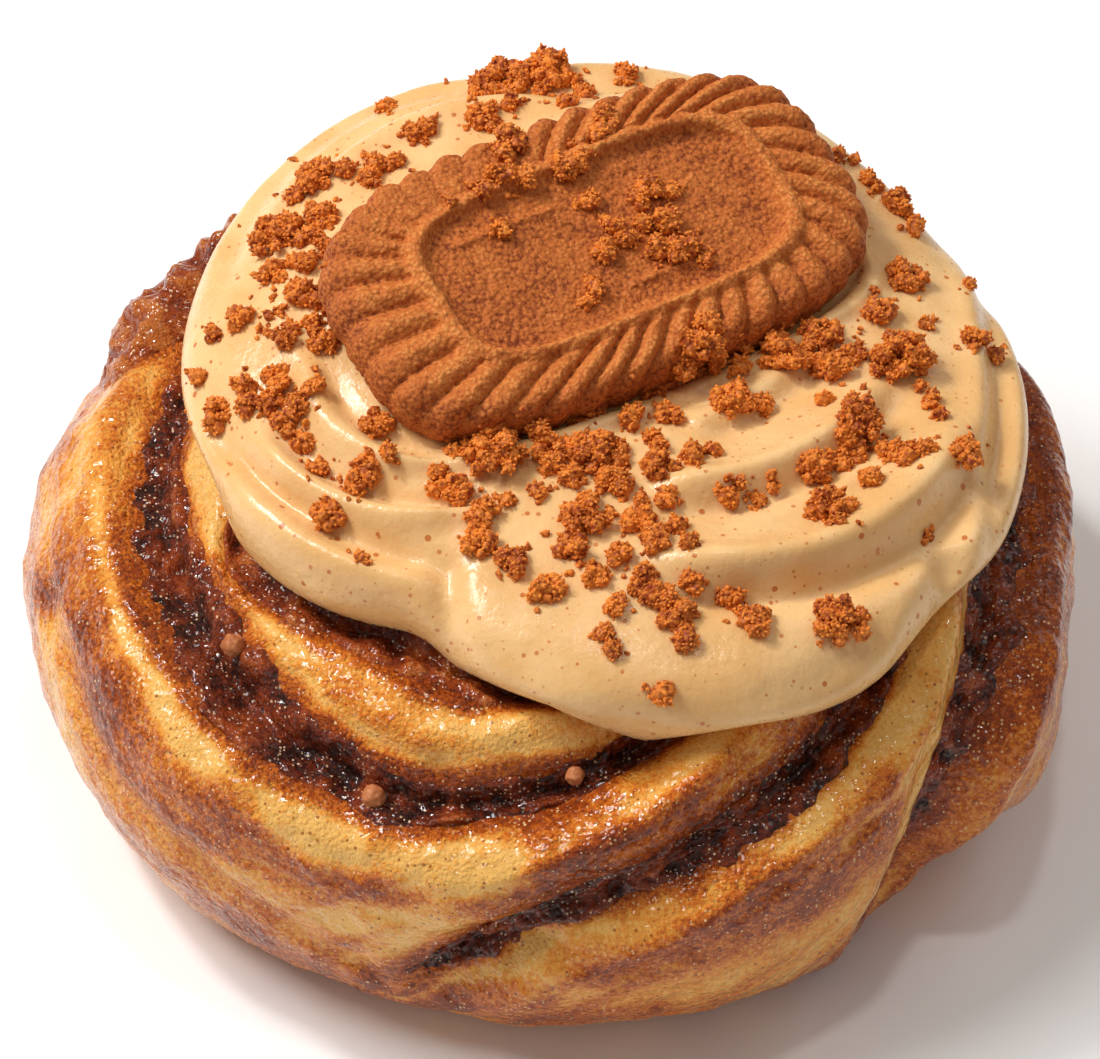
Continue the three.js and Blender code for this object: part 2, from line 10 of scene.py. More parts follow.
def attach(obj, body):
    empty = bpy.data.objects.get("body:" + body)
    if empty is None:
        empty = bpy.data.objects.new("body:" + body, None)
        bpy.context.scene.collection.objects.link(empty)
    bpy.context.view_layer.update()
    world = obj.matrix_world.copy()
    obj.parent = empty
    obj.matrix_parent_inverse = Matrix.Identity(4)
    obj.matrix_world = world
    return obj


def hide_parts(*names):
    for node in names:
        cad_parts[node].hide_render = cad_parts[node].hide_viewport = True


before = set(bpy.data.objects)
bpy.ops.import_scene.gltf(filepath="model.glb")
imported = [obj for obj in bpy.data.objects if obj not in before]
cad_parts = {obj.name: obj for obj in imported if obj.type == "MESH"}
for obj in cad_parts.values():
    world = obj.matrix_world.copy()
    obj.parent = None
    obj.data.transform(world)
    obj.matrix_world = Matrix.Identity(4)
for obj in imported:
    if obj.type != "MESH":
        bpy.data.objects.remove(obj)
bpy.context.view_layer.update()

mm = 0.001
print("stage: solids loaded")


# helpers for numbers: everything is laid out in millimetres and scaled when a mesh is made
def smoothstep(x, low, high):
    t = np.clip((x - low) / (high - low), 0, 1)
    return t * t * (3 - 2 * t)


noiseValues = np.random.default_rng(3).random(8192) * 2 - 1


def noise(points, size, seed=0):
    # smooth random values from -1 to 1 over points, with lumps about size across
    q = points / size + 31.7 * seed + 1000
    cell = np.floor(q).astype(np.int64)
    f = q - cell
    f = f * f * (3 - 2 * f)
    total = 0
    for corner in np.ndindex(*(2,) * points.shape[1]):
        weight = 1
        key = 0
        for axis, step in enumerate(corner):
            weight = weight * (f[:, axis] if step else 1 - f[:, axis])
            key = key ^ (cell[:, axis] + step) * (73856093, 19349663, 83492791)[axis]
        total = total + weight * noiseValues[key & 8191]
    return total


def throughPoints(points, steps=40):
    # a centripetal Catmull-Rom curve through the points
    p = np.array(points, float)
    p = np.vstack([2 * p[0] - p[1], p, 2 * p[-1] - p[-2]])
    t = np.linspace(0, 1, steps, endpoint=False)[:, None]
    parts = []
    for a, b, c, d in zip(p, p[1:], p[2:], p[3:]):
        ta, tb, tc = (max(np.linalg.norm(v), 1e-6) ** 0.5 for v in (b - a, c - b, d - c))
        leave = ((b - a) / ta - (c - a) / (ta + tb) + (c - b) / tb) * tb
        arrive = ((c - b) / tb - (d - b) / (tb + tc) + (d - c) / tc) * tb
        parts.append(
            b + t * leave + t**2 * (3 * (c - b) - 2 * leave - arrive) + t**3 * (2 * (b - c) + leave + arrive)
        )
    return np.vstack([*parts, p[-2:-1]])


def noises(points, layers):
    # the sum of several noises, each given as strength, size and seed
    return sum(strength * noise(points, size, seed) for strength, size, seed in layers)


def hump(away, width):
    # 1 in the middle, falling smoothly to nothing beyond the width
    return np.exp(-((away / width) ** 2))


def turnBetween(angle, other):
    return (angle - other + 180) % 360 - 180


# helpers for meshes
def closedFaces(rings, count):
    # faces of a pole, then rings of count points each, then another pole
    ring, i = (a.ravel() for a in np.meshgrid(np.arange(rings - 1), np.arange(count), indexing="ij"))
    j = (i + 1) % count
    low, high = 1 + ring * count, 1 + (ring + 1) * count
    quads = np.stack([low + i, low + j, high + j, high + i], 1).tolist()
    k = np.arange(count)
    n = (k + 1) % count
    last = 1 + rings * count
    start = 1 + (rings - 1) * count
    quads += np.stack([np.zeros_like(k), 1 + n, 1 + k], 1).tolist()
    quads += np.stack([np.full_like(k, last), start + k, start + n], 1).tolist()
    return quads


def setAttribute(mesh, name, values):
    mesh.attributes.new(name, "FLOAT", "POINT").data.foreach_set("value", values.astype(np.float32))


def makeMesh(name, points, faces, attributes=None, smooth=True):
    mesh = bpy.data.meshes.new(name)
    mesh.from_pydata((points * mm).tolist(), [], faces)
    mesh.update()
    mesh.calc_loop_triangles()
    corners = np.zeros(len(mesh.loop_triangles) * 3, np.int32)
    mesh.loop_triangles.foreach_get("vertices", corners)
    a, b, c = points[corners.reshape(-1, 3).T]
    if np.einsum("ij,ij->i", a, np.cross(b, c)).sum() < 0:
        mesh.flip_normals()
    mesh.polygons.foreach_set("use_smooth", np.full(len(mesh.polygons), smooth))
    for key, values in (attributes or {}).items():
        setAttribute(mesh, key, values)
    return mesh


def makeObject(name, data):
    made = bpy.data.objects.new(name, data)
    bpy.context.scene.collection.objects.link(made)
    return made


def makePiece(name, mesh, material, replaced=None):
    piece = makeObject(name, mesh)
    mesh.materials.clear()
    mesh.materials.append(material)
    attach(piece, "root")
    if replaced:
        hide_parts(replaced)
    mesh.calc_loop_triangles()
    print(name, len(mesh.loop_triangles), "triangles")


def vertexVectors(mesh, name):
    values = np.zeros(len(mesh.vertices) * 3)
    mesh.vertices.foreach_get(name, values)
    return values.reshape(-1, 3)


# helpers for node trees
def addNode(tree, kind, inputs=None, **settings):
    node = tree.nodes.new(kind)
    for key, value in settings.items():
        setattr(node, key, value)
    for key, value in (inputs or {}).items():
        if isinstance(value, bpy.types.NodeSocket):
            tree.links.new(value, node.inputs[key])
        else:
            node.inputs[key].default_value = value
    return node


def newMaterial(name, **shaderInputs):
    material = bpy.data.materials.new(name)
    material.use_nodes = True
    tree = material.node_tree
    tree.nodes.clear()
    values = {name.replace("_", " "): value for name, value in shaderInputs.items()}
    shader = addNode(tree, "ShaderNodeBsdfPrincipled", values)
    addNode(tree, "ShaderNodeOutputMaterial", {"Surface": shader.outputs["BSDF"]})
    place = addNode(tree, "ShaderNodeTexCoord").outputs["Object"]
    return material, tree, shader, place


def shadeNoise(tree, place, size, detail=2.0, rough=0.5):
    # a noise texture with lumps about size millimetres across
    values = {"Vector": place, "Scale": 1 / (size * mm), "Detail": detail, "Roughness": rough}
    return addNode(tree, "ShaderNodeTexNoise", values).outputs["Fac"]


def cells(tree, place, spacing):
    # a Voronoi texture with cells about spacing millimetres across
    return addNode(tree, "ShaderNodeTexVoronoi", {"Vector": place, "Scale": 1 / (spacing * mm)}).outputs


def ramp(tree, value, low, high, toLow=0.0, toHigh=1.0):
    values = {"Value": value, "From Min": low, "From Max": high, "To Min": toLow, "To Max": toHigh}
    return addNode(tree, "ShaderNodeMapRange", values, interpolation_type="SMOOTHSTEP").outputs["Result"]


def blendColours(tree, factor, a, b):
    return addNode(tree, "ShaderNodeMix", {0: factor, 6: a, 7: b}, data_type="RGBA").outputs[2]


def maths(tree, operation, a, b=0.0, c=0.0):
    return addNode(tree, "ShaderNodeMath", {0: a, 1: b, 2: c}, operation=operation).outputs[0]


def colourSteps(tree, level, steps):
    # colours that follow one another as level rises past the given values
    colour = steps[0][1]
    for (low, _), (high, other) in zip(steps, steps[1:]):
        colour = blendColours(tree, ramp(tree, level, low, high), colour, other)
    return colour


def addSpecks(tree, place, colour, speck, spots, strength):
    # small round spots of another colour: spacing and largest radius in millimetres, and the share that shows
    spacing, radius, share = spots
    cell = cells(tree, place, spacing)
    pick = addNode(tree, "ShaderNodeSeparateColor", {"Color": cell["Color"]})
    size = ramp(tree, pick.outputs["Red"], 1 - share, 1.0, 0.0, radius / spacing)
    inside = ramp(tree, maths(tree, "SUBTRACT", size, cell["Distance"]), 0.0, 0.03)
    return blendColours(tree, maths(tree, "MULTIPLY", inside, strength), colour, speck)


def domes(tree, place, spacing):
    # rounded grains that lie side by side: 1 at their tops and 0 between them
    return ramp(tree, cells(tree, place, spacing)["Distance"], 0.0, 0.75, 1.0, 0.0)


def attribute(tree, name):
    return addNode(tree, "ShaderNodeAttribute", attribute_name=name).outputs["Fac"]


def bump(tree, shader, height, strength, distance, layer="Normal"):
    values = {"Height": height, "Strength": strength, "Distance": distance * mm}
    tree.links.new(addNode(tree, "ShaderNodeBump", values).outputs["Normal"], shader.inputs[layer])


def tone(*levels):
    # red, green and blue as they look on screen, 0 to 255
    return *(((v / 255 + 0.055) / 1.055) ** 2.4 if v > 10 else v / 3295 for v in levels), 1.0


# helpers for Geometry Nodes
def newNodeGroup(name, inputs, output):
    # an empty tree, and the sockets that give its inputs' values; inputs holds their names and kinds
    tree = bpy.data.node_groups.new(name, "GeometryNodeTree")
    for key, kind in inputs.items():
        tree.interface.new_socket(name=key, in_out="INPUT", socket_type="NodeSocket" + kind)
    tree.interface.new_socket(name=output, in_out="OUTPUT", socket_type="NodeSocketGeometry")
    return tree, addNode(tree, "NodeGroupInput").outputs


def finishNodeGroup(tree, geometry, material):
    real = addNode(tree, "GeometryNodeRealizeInstances", {0: geometry})
    done = addNode(tree, "GeometryNodeSetMaterial", {"Geometry": real.outputs[0], "Material": material})
    addNode(tree, "NodeGroupOutput", {0: done.outputs[0]})


def runNodeGroup(name, mesh, tree, values):
    # what the tree makes of a mesh, as a plain mesh; values are set by the identifiers of its inputs
    holder = makeObject("holder", mesh)
    modifier = holder.modifiers.new(tree.name, "NODES")
    modifier.node_group = tree
    sockets = {item.name: item.identifier for item in tree.interface.items_tree if item.in_out == "INPUT"}
    for key, value in values.items():
        modifier[sockets[key]] = value
    bpy.context.view_layer.update()
    evaluated = holder.evaluated_get(bpy.context.evaluated_depsgraph_get())
    made = bpy.data.meshes.new_from_object(evaluated)
    made.name = name
    bpy.data.objects.remove(holder)
    return made


# camera, light and floor
studio = {
    "target": (-0.37, 0, 25.1),
    "distance": 560,
    "elevation": 47,
    "lens": 162,
    "sensor": 36,
    "floorSize": 6000,
    "floorColours": (tone(250, 248, 246), tone(254, 253, 252)),
    "sky": (1, 0.985, 0.96, 1),
    "skyStrength": 0.26,
    # direction to each light, its distance, size and power
    "lights": {
        "key": ((-0.72, 0.08, 1.0), 900, 420, 5.0),
        "spark": ((-0.6, 0.3, 1.0), 900, 110, 3.0),
        "sparkFront": ((0.05, 0.0, 1.0), 900, 70, 0.8),
        "front": ((0.3, -1.0, 0.6), 1000, 700, 0.25),
        "rim": ((0.8, 0.6, 0.9), 1000, 600, 1.1),
    },
}


def buildStudio():
    target = Vector(studio["target"]) * mm
    e = math.radians(studio["elevation"])
    camera = makeObject("camera", bpy.data.cameras.new("camera"))
    camera.data.lens = studio["lens"]
    camera.data.sensor_width = studio["sensor"]
    camera.location = target + Vector((0, -math.cos(e), math.sin(e))) * studio["distance"] * mm
    camera.rotation_euler = (math.pi / 2 - e, 0, 0)
    bpy.context.scene.camera = camera
    for name, (way, distance, size, power) in studio["lights"].items():
        light = bpy.data.lights.new(name, "AREA")
        light.shape = "DISK"
        light.size = size * mm
        light.energy = power
        holder = makeObject(name, light)
        holder.location = target + Vector(way).normalized() * distance * mm
        holder.rotation_euler = (target - holder.location).to_track_quat("-Z", "Y").to_euler()
    world = bpy.data.worlds.new("studio")
    world.use_nodes = True
    world.node_tree.nodes["Background"].inputs["Color"].default_value = studio["sky"]
    world.node_tree.nodes["Background"].inputs["Strength"].default_value = studio["skyStrength"]
    bpy.context.scene.world = world
    bpy.context.scene.view_settings.view_transform = "Standard"
    material, tree, shader, place = newMaterial("floorPaint", Roughness=0.7)
    grain = shadeNoise(tree, place, 30, 3)
    colour = blendColours(tree, ramp(tree, grain, 0.3, 0.7), *studio["floorColours"])
    tree.links.new(colour, shader.inputs["Base Color"])
    half = studio["floorSize"] / 2 * mm
    mesh = bpy.data.meshes.new("floor")
    mesh.from_pydata([(-half, -half, 0), (half, -half, 0), (half, half, 0), (-half, half, 0)], [], [range(4)])
    mesh.materials.append(material)
    floor = makeObject("floor", mesh)


buildStudio()
print("stage: camera, light and floor")

# the smooth crust that dough, filling and icing are laid out on; a place on it is an angle in degrees and a
# rise, which is 0 at the base's edge and 1 at the middle of the top
crust = {
    "radius": 59,
    "baseRadius": 47,
    "widestHeight": 20,
    "topHeight": 47,
    "boxiness": 2.8,
    "widestRise": 0.33,
    "sectionLength": 78,  # roughly, from the base's edge to the top's middle
}


def crustSection(rise):
    c = crust
    t = np.clip(rise / c["widestRise"], 0, 1)
    a = np.clip((rise - c["widestRise"]) / (1 - c["widestRise"]), 0, 1) * np.pi / 2
    power = 2 / c["boxiness"]
    lower = rise < c["widestRise"]
    out = np.where(
        lower,
        c["baseRadius"] + (c["radius"] - c["baseRadius"]) * np.sqrt(1 - (1 - t) ** 2),
        c["radius"] * np.maximum(np.cos(a), 0) ** power,
    )
    up = np.where(
        lower,
        c["widestHeight"] * t,
        c["widestHeight"] + (c["topHeight"] - c["widestHeight"]) * np.sin(a) ** power,
    )
    return out, up


def crustPoint(angle, rise):
    out, up = crustSection(rise)
    return np.stack([out * np.cos(np.radians(angle)), out * np.sin(np.radians(angle)), up], -1)


def crustNormal(angle, rise):
    r0, z0 = crustSection(np.maximum(rise - 0.004, 0))
    r1, z1 = crustSection(np.minimum(rise + 0.004, 1))
    out, up = z1 - z0, r0 - r1
    size = np.hypot(out, up)
    a = np.radians(angle)
    return np.stack([out * np.cos(a), out * np.sin(a), up], -1) / size[..., None]


# the seams between the strands: a path of (angle, rise, half width of the filling), the groove's half width
# and depth, the height of its raised lip, how much wider the filling lies than its path says, how far it
# stains the dough on either side, how much paler its filling is painted as if more brightly lit (painted
# light), and how far it has run over
seams = [
    {
        "path": [
            (38, 0.14, 2), (56, 0.42, 3), (86, 0.6, 3.2), (125, 0.68, 3), (171, 0.69, 2.3), (195, 0.67, 2.9),
            (213, 0.65, 3.6), (238, 0.59, 3.6), (254, 0.57, 2.6), (275, 0.64, 1.7), (300, 0.78, 1.4),
            (315, 1, 1.4),
        ],
        "width": 9, "depth": 5.5, "lip": 0.6, "spread": 1.15, "stains": (1.0, 1.3),
    },
    {
        "path": [
            (196, 0.8, 1), (210, 0.74, 1.2), (238, 0.77, 2.8), (268, 0.75, 2.4), (296, 0.8, 2), (315, 1, 2),
        ],
        "width": 6, "depth": 3.6, "lip": 0.2, "spread": 1.25, "stains": (2.5, 0.3), "paintedLight": 0.7,
    },
    {
        "path": [
            (252, 0.17, 0.9), (264, 0.33, 1.6), (281, 0.45, 2.4), (302, 0.56, 2.7), (322, 0.66, 2.3),
            (340, 0.8, 2), (350, 1, 2),
        ],
        "width": 8.5, "depth": 4.8, "lip": 1, "spread": 1.05, "stains": (2.4, 0.3),
    },
    {
        "path": [
            (306, 0.06, 0.6), (311, 0.18, 0.8), (316, 0.33, 1.2), (324, 0.47, 2.2), (341, 0.57, 3.3),
            (365, 0.58, 3.5), (400, 0.65, 3.2), (430, 0.8, 2.6), (440, 1, 2),
        ],
        "width": 8.5, "depth": 5, "lip": 1.8, "spread": 1.1, "stains": (0.3, 3),
    },
    {
        "path": [(165, 0.46, 3.4), (160, 0.53, 4.2), (152, 0.58, 4.6), (142, 0.615, 4), (126, 0.66, 3)],
        "width": 7, "depth": 2.4, "lip": 0, "spread": 1.3, "stains": (1.5, 1.5), "paintedLight": 1.3, "overrun": 5.6,
    },
]
seamFade = 12  # length over which a seam's outer end deepens
lipPlace, lipWidth = 6, 3  # of the lip's crest from the seam, and of the lip
# fuller places of the bun, and slacker ones with a minus: angle and its spread, rise and its spread, amount
swells = [
    (213, 20, 0.35, 0.3, 1.1), (250, 18, 0.3, 0.3, -1.1), (288, 12, 0.3, 0.3, 0.7), (313, 7, 0.22, 0.2, -2.2),
    (323, 7, 0.12, 0.13, -4.4), (331, 9, 0.33, 0.2, 2.8), (40, 24, 0.5, 0.3, -2.4), (149, 22, 0.5, 0.3, -2.7),
    (180, 12, 0.35, 0.3, 0.6),
]


def traceSeam(seam):
    line = throughPoints([(a, r * 100, h) for a, r, h in seam["path"]], 24)
    seam["angle"], seam["rise"], seam["half"] = line[:, 0], np.clip(line[:, 1] / 100, 0, 1), line[:, 2]
    points = crustPoint(seam["angle"], seam["rise"])
    step = np.linalg.norm(np.diff(points, axis=0), axis=1)
    seam["points"] = points
    seam["along"] = np.r_[0, np.cumsum(step)]
    way = np.gradient(points, axis=0)
    side = np.cross(way, crustNormal(seam["angle"], seam["rise"]))
    seam["side"] = side / np.linalg.norm(side, axis=1)[:, None]


def tracePath(path):
    traced = {"path": path}
    traceSeam(traced)
    return traced


def nearSeam(seam, points):
    # distance to the seam (minus on its left), place along it and the filling's half width there
    best = np.empty(len(points), int)
    squares = (seam["points"] ** 2).sum(1)
    for start in range(0, len(points), 20000):
        some = points[start : start + 20000]
        best[start : start + 20000] = (squares - 2 * some @ seam["points"].T).argmin(1)
    away = points - seam["points"][best]
    sign = np.where((away * seam["side"][best]).sum(1) > 0, 1, -1)
    return np.linalg.norm(away, axis=1) * sign, seam["along"][best], seam["half"][best]


for seam in seams:
    traceSeam(seam)


def unevenness(angle, rise):
    by = 0
    for at, width, height, spread, amount in swells:
        across = turnBetween(angle, at) / width
        by = by + amount * np.exp(-(across**2) - ((rise - height) / spread) ** 2)
    return by


def seamRelief(points, wobble=0.0):
    relief, lip = np.zeros(len(points)), np.zeros(len(points))
    for seam in seams:
        away, along = nearSeam(seam, points)[:2]
        fade = smoothstep(along, 0, seamFade)
        t = np.clip((np.abs(away) + wobble) / seam["width"], 0, 1)
        relief = np.minimum(relief, -seam["depth"] * fade * (1 - t) ** 1.6)
        raised = seam["lip"] * fade * hump(away - lipPlace, lipWidth)
        lip = np.maximum(lip, np.where(away > 0, raised, 0))
    return relief + lip


# dough
dough = {
    "columns": 470,
    "rows": 204,
    "coveredFrom": 0.83,  # rise above which icing hides the dough
    "lowest": 0.1,  # height of the first row above the base
    "wobble": (0.9, 5, 1),  # of the grooves' edges: strength, size and seed
    "relief": [(0.45, 8, 2), (0.28, 2.8, 3), (0.12, 1.2, 4)],
    # fine creases along the strands: their height, and how far from a seam, how long and how wide they are
    "streaks": 0.28,
    "streakReach": 15,
    "streakSize": (20, 1.5),
    # shallow creases within a strand: path of (angle, rise, half width) and depth
    "creases": [
        ([(195, 0.44, 2), (206, 0.42, 2), (215, 0.37, 2), (234, 0.32, 2), (242, 0.27, 2), (251, 0.2, 2)],
         0.9),
        ([(268, 0.34, 1.6), (280, 0.33, 1.6), (291, 0.39, 1.6), (300, 0.43, 1.6), (308, 0.43, 1.6)], 0.7),
        ([(226, 0.72, 1.5), (243, 0.7, 1.5), (262, 0.7, 1.5)], 0.5),
        ([(320, 0.66, 1.8), (316, 0.5, 1.8), (310, 0.36, 1.8)], 0.6),
    ],
    # places where the filling has sunk in: angle, rise, radius and depth
    "pits": [
        (203, 0.65, 2.6, 1.3), (208, 0.64, 2.2, 1.1), (227, 0.6, 2.4, 1.5), (239, 0.55, 2, 1.1),
        (271, 0.6, 2.4, 1.3), (281, 0.66, 2.4, 1.2), (255, 0.62, 2, 0.8),
    ],
    # how brown the crust is on average, and by how much that changes: strength, size and seed
    "browned": 0.38,
    "patches": [(0.12, 24, 12), (0.12, 9, 13)],
    "streakBrown": 0.42,
    "wander": [(1.4, 5, 14), (0.6, 1.8, 15)],
    # the stains beside the seams: unevenness of their width in widths and in millimetres, how dark they are,
    # and the share by which they hide the browning
    "stainNoise": ((0.5, 11, 16), (0.9, 3.5, 11)),
    "stained": 0.74,
    "stainCover": 0.6,
    # browner stretches, and paler ones with a minus: path of (angle, rise, half width) and amount
    "strokes": [
        ([(159, 0.65, 3), (169, 0.62, 3.4), (177, 0.59, 3.6), (185, 0.55, 3.2)], -0.12),
        ([(182, 0.63, 1.6), (191, 0.6, 2), (197, 0.53, 2)], -0.3),
        ([(188, 0.72, 2), (197, 0.71, 2.4), (207, 0.69, 2.6), (216, 0.67, 2.2)], -0.2),
        ([(193, 0.41, 3.5), (196, 0.52, 3), (194, 0.6, 2)], 0.34),
        ([(198, 0.4, 2.6), (204, 0.35, 3), (209, 0.31, 3), (210, 0.21, 3)], -0.34),
        ([(205, 0.49, 3), (214, 0.43, 4), (222, 0.4, 4), (231, 0.39, 3.6), (242, 0.39, 3), (252, 0.4, 2.6)],
         0.42),
        ([(209, 0.55, 1.6), (217, 0.54, 1.8), (225, 0.53, 2), (234, 0.51, 2), (244, 0.48, 2.4),
          (256, 0.49, 3), (266, 0.49, 2.6)], -0.4),
        ([(233, 0.35, 2.6), (246, 0.34, 3.4), (256, 0.34, 4), (266, 0.33, 3.4)], -0.42),
        ([(190, 0.28, 4), (201, 0.2, 4), (225, 0.24, 3), (231, 0.21, 3.4), (245, 0.15, 3.6),
          (263, 0.14, 3.6), (280, 0.16, 3.6)], 0.42),
        ([(268, 0.42, 3), (275, 0.45, 4), (284, 0.48, 4), (293, 0.49, 3)], 0.34),
        ([(271, 0.58, 3), (278, 0.62, 4.2), (286, 0.65, 4.4), (296, 0.66, 3.4)], -0.5),
        ([(268, 0.5, 2.4), (275, 0.51, 3.2), (284, 0.53, 3.2), (293, 0.57, 3)], 0.4),
        ([(275, 0.31, 2), (283, 0.34, 3.6), (292, 0.36, 4.6), (300, 0.37, 5), (308, 0.39, 3)], 0.55),
        ([(288, 0.46, 1.4), (297, 0.47, 1.6), (303, 0.52, 1.8), (311, 0.59, 2)], -0.3),
        ([(322, 0.68, 5), (319, 0.55, 6), (316, 0.43, 5.4), (313, 0.34, 4), (309, 0.26, 4)], -0.5),
        ([(336, 0.46, 2.4), (330, 0.38, 3), (324, 0.32, 2.6), (320, 0.27, 2)], -0.16),
        ([(355, 0.47, 3), (348, 0.38, 3), (341, 0.3, 3), (336, 0.21, 3), (329, 0.16, 3)], 0.4),
        ([(12, 0.51, 4), (5, 0.49, 4), (357, 0.46, 3)], 0.3),
        ([(186, 0.75, 2.6), (199, 0.745, 2.4), (207, 0.74, 1.4)], -0.16),
        ([(218, 0.7, 1.6), (231, 0.685, 2), (243, 0.67, 2.6), (254, 0.67, 3), (265, 0.69, 2.6),
          (277, 0.71, 2)], -0.4),
        ([(20, 0.3, 5), (45, 0.25, 5), (70, 0.3, 5), (95, 0.28, 4)], 0.3),
        ([(30, 0.45, 3), (55, 0.3, 3), (85, 0.42, 4), (110, 0.5, 4)], -0.3),
        ([(110, 0.3, 5), (140, 0.38, 6), (165, 0.3, 5)], 0.32),
        ([(130, 0.2, 4), (160, 0.18, 4), (185, 0.2, 3)], -0.2),
    ],
    # round spots: angle, rise, radius and amount
    "spots": [
        (320, 0.59, 1.7, 0.6), (326, 0.62, 1.3, 0.5), (316, 0.53, 1.3, 0.25), (331, 0.41, 2, 0.4),
        (337, 0.5, 1.6, 0.4), (209, 0.73, 2.4, 0.3), (177, 0.55, 1, 0.3), (262, 0.42, 2.2, 0.25),
        (300, 0.7, 2.4, 0.3), (270, 0.23, 2, 0.3),
    ],
    "colours": [
        (0.0, tone(240, 184, 98)),
        (0.26, tone(232, 152, 58)),
        (0.54, tone(210, 108, 26)),
        (0.9, tone(158, 66, 12)),
        (1.4, tone(98, 34, 7)),
    ],
    # pale specks: sugar grains, and painted glints (painted highlights)
    "sugarAndGlint": tone(250, 208, 150),
    "spice": tone(140, 62, 16),
}


def addMarks(values, points, paths, spots, sign=1):
    # adds soft bands along paths and soft round spots on the crust, or takes them away
    for path, amount in paths:
        away, _, half = nearSeam(tracePath(path), points)
        values = values + sign * amount * hump(away, half)
    for at, level, radius, amount in spots:
        away = np.linalg.norm(points - crustPoint(at, np.array(level)), axis=1)
        values = values + sign * amount * hump(away, radius)
    return values


def doughHeight(points, angle, rise):
    # how far the crust stands out of the smooth one, and where its fine creases are
    d = dough
    height = seamRelief(points, noises(points, [d["wobble"]])) + unevenness(angle, rise)
    height += noises(points, d["relief"])
    streak = np.zeros(len(points))
    length, width = d["streakSize"]
    for k, seam in enumerate(seams[:4]):
        away, along = nearSeam(seam, points)[:2]
        lines = noise(np.stack([along / length, away / width], 1), 1, 5 + k)
        streak = streak + hump(away, d["streakReach"]) * lines
    return addMarks(height, points, d["creases"], d["pits"], -1) + d["streaks"] * streak, streak


def doughColour(points, streak):
    # how brown the crust is: 0 pale, 1 dark
    d = dough
    brown = d["browned"] + noises(points, d["patches"]) + d["streakBrown"] * streak
    brown = addMarks(brown, points + noises(points, d["wander"])[:, None], d["strokes"], d["spots"])
    stain = np.zeros(len(points))
    broad, ragged = (noises(points, [layer]) for layer in d["stainNoise"])
    for seam in seams:
        away, along, half = nearSeam(seam, points)
        width = np.where(away < 0, *seam["stains"]) * (1 + broad) + ragged
        reach = half * seam["spread"] + 0.3 * width
        spread = 1 - smoothstep(np.abs(away), reach - 0.6, reach + 1 + width)
        stain = np.maximum(stain, spread * smoothstep(along, 0, 8))
    return np.clip(brown, 0, 1) * (1 - d["stainCover"] * stain) + d["stained"] * stain


def buildDough():
    d = dough
    rises = np.linspace(0, d["coveredFrom"], d["rows"] - 1)
    rises = np.r_[rises, (1 + d["coveredFrom"]) / 2]
    angles = np.arange(d["columns"]) / d["columns"] * 360
    rise, angle = (a.ravel() for a in np.meshgrid(rises, angles, indexing="ij"))
    smooth = crustPoint(angle, rise)
    height, streak = doughHeight(smooth, angle, rise)
    points = smooth + crustNormal(angle, rise) * height[:, None]
    points[:, 2] = np.where(rise == 0, 0, np.maximum(points[:, 2], d["lowest"] * rise / rises[1]))
    poles = np.array([[0, 0, 0], [0, 0, crust["topHeight"] - 4]])
    points = np.vstack([poles[:1], points, poles[1:]])
    brown = doughColour(smooth, streak)
    marks = {"brown": np.r_[brown[0], brown, brown[-1]]}
    mesh = makeMesh("dough", points, closedFaces(d["rows"], d["columns"]), marks)
    makePiece("doughCrust", mesh, doughMaterial(), "dough")


def doughMaterial():
    d = dough
    material, tree, shader, place = newMaterial(
        "bakedCrust", Roughness=0.5, Specular_IOR_Level=0.1,
        Coat_Weight=0.9, Coat_Roughness=0.1, Coat_IOR=1.36,
        Subsurface_Weight=0.1, Subsurface_Radius=(1.0, 0.5, 0.2), Subsurface_Scale=1.2 * mm,
    )
    brown = attribute(tree, "brown")
    speckle = shadeNoise(tree, place, 0.6, 3, 0.75)
    patch = shadeNoise(tree, place, 3.4, 5, 0.72)
    # the browner the crust, the more it is mottled
    strength = ramp(tree, brown, 0.1, 0.8, 0.5, 1.0)
    mottle = maths(tree, "ADD", maths(tree, "MULTIPLY", patch, 1.3), maths(tree, "MULTIPLY", speckle, 2.0))
    level = maths(tree, "MULTIPLY_ADD", maths(tree, "SUBTRACT", mottle, 1.65), strength, brown)
    colour = colourSteps(tree, level, d["colours"])
    colour = addSpecks(tree, place, colour, d["spice"], (0.8, 0.22, 0.7), 0.7)
    # pale grains of sugar, partly painted glints standing in for sparkles of light (painted highlights),
    # most of them where the crust is brown
    sugarAndGlintShare = ramp(tree, brown, 0.1, 0.6, 0.3, 0.9)
    sugarAndGlintShare = maths(tree, "MULTIPLY", sugarAndGlintShare, ramp(tree, patch, 0.4, 0.6, 0.1, 1.0))
    colour = addSpecks(tree, place, colour, d["sugarAndGlint"], (0.5, 0.17, 0.8), sugarAndGlintShare)
    tree.links.new(colour, shader.inputs["Base Color"])
    grain = maths(tree, "MULTIPLY_ADD", domes(tree, place, 0.6), 0.35, speckle)
    strength = ramp(tree, brown, 0.1, 0.7, 0.4, 1.0)
    height = maths(tree, "MULTIPLY_ADD", grain, strength, maths(tree, "MULTIPLY", patch, 0.8))
    bump(tree, shader, height, 1.0, 0.75)
    # the glaze is smoother than the crust under it
    bump(tree, shader, shadeNoise(tree, place, 1.3, 1.0), 1.0, 0.6, "Coat Normal")
    return material


buildDough()
print("stage: dough")

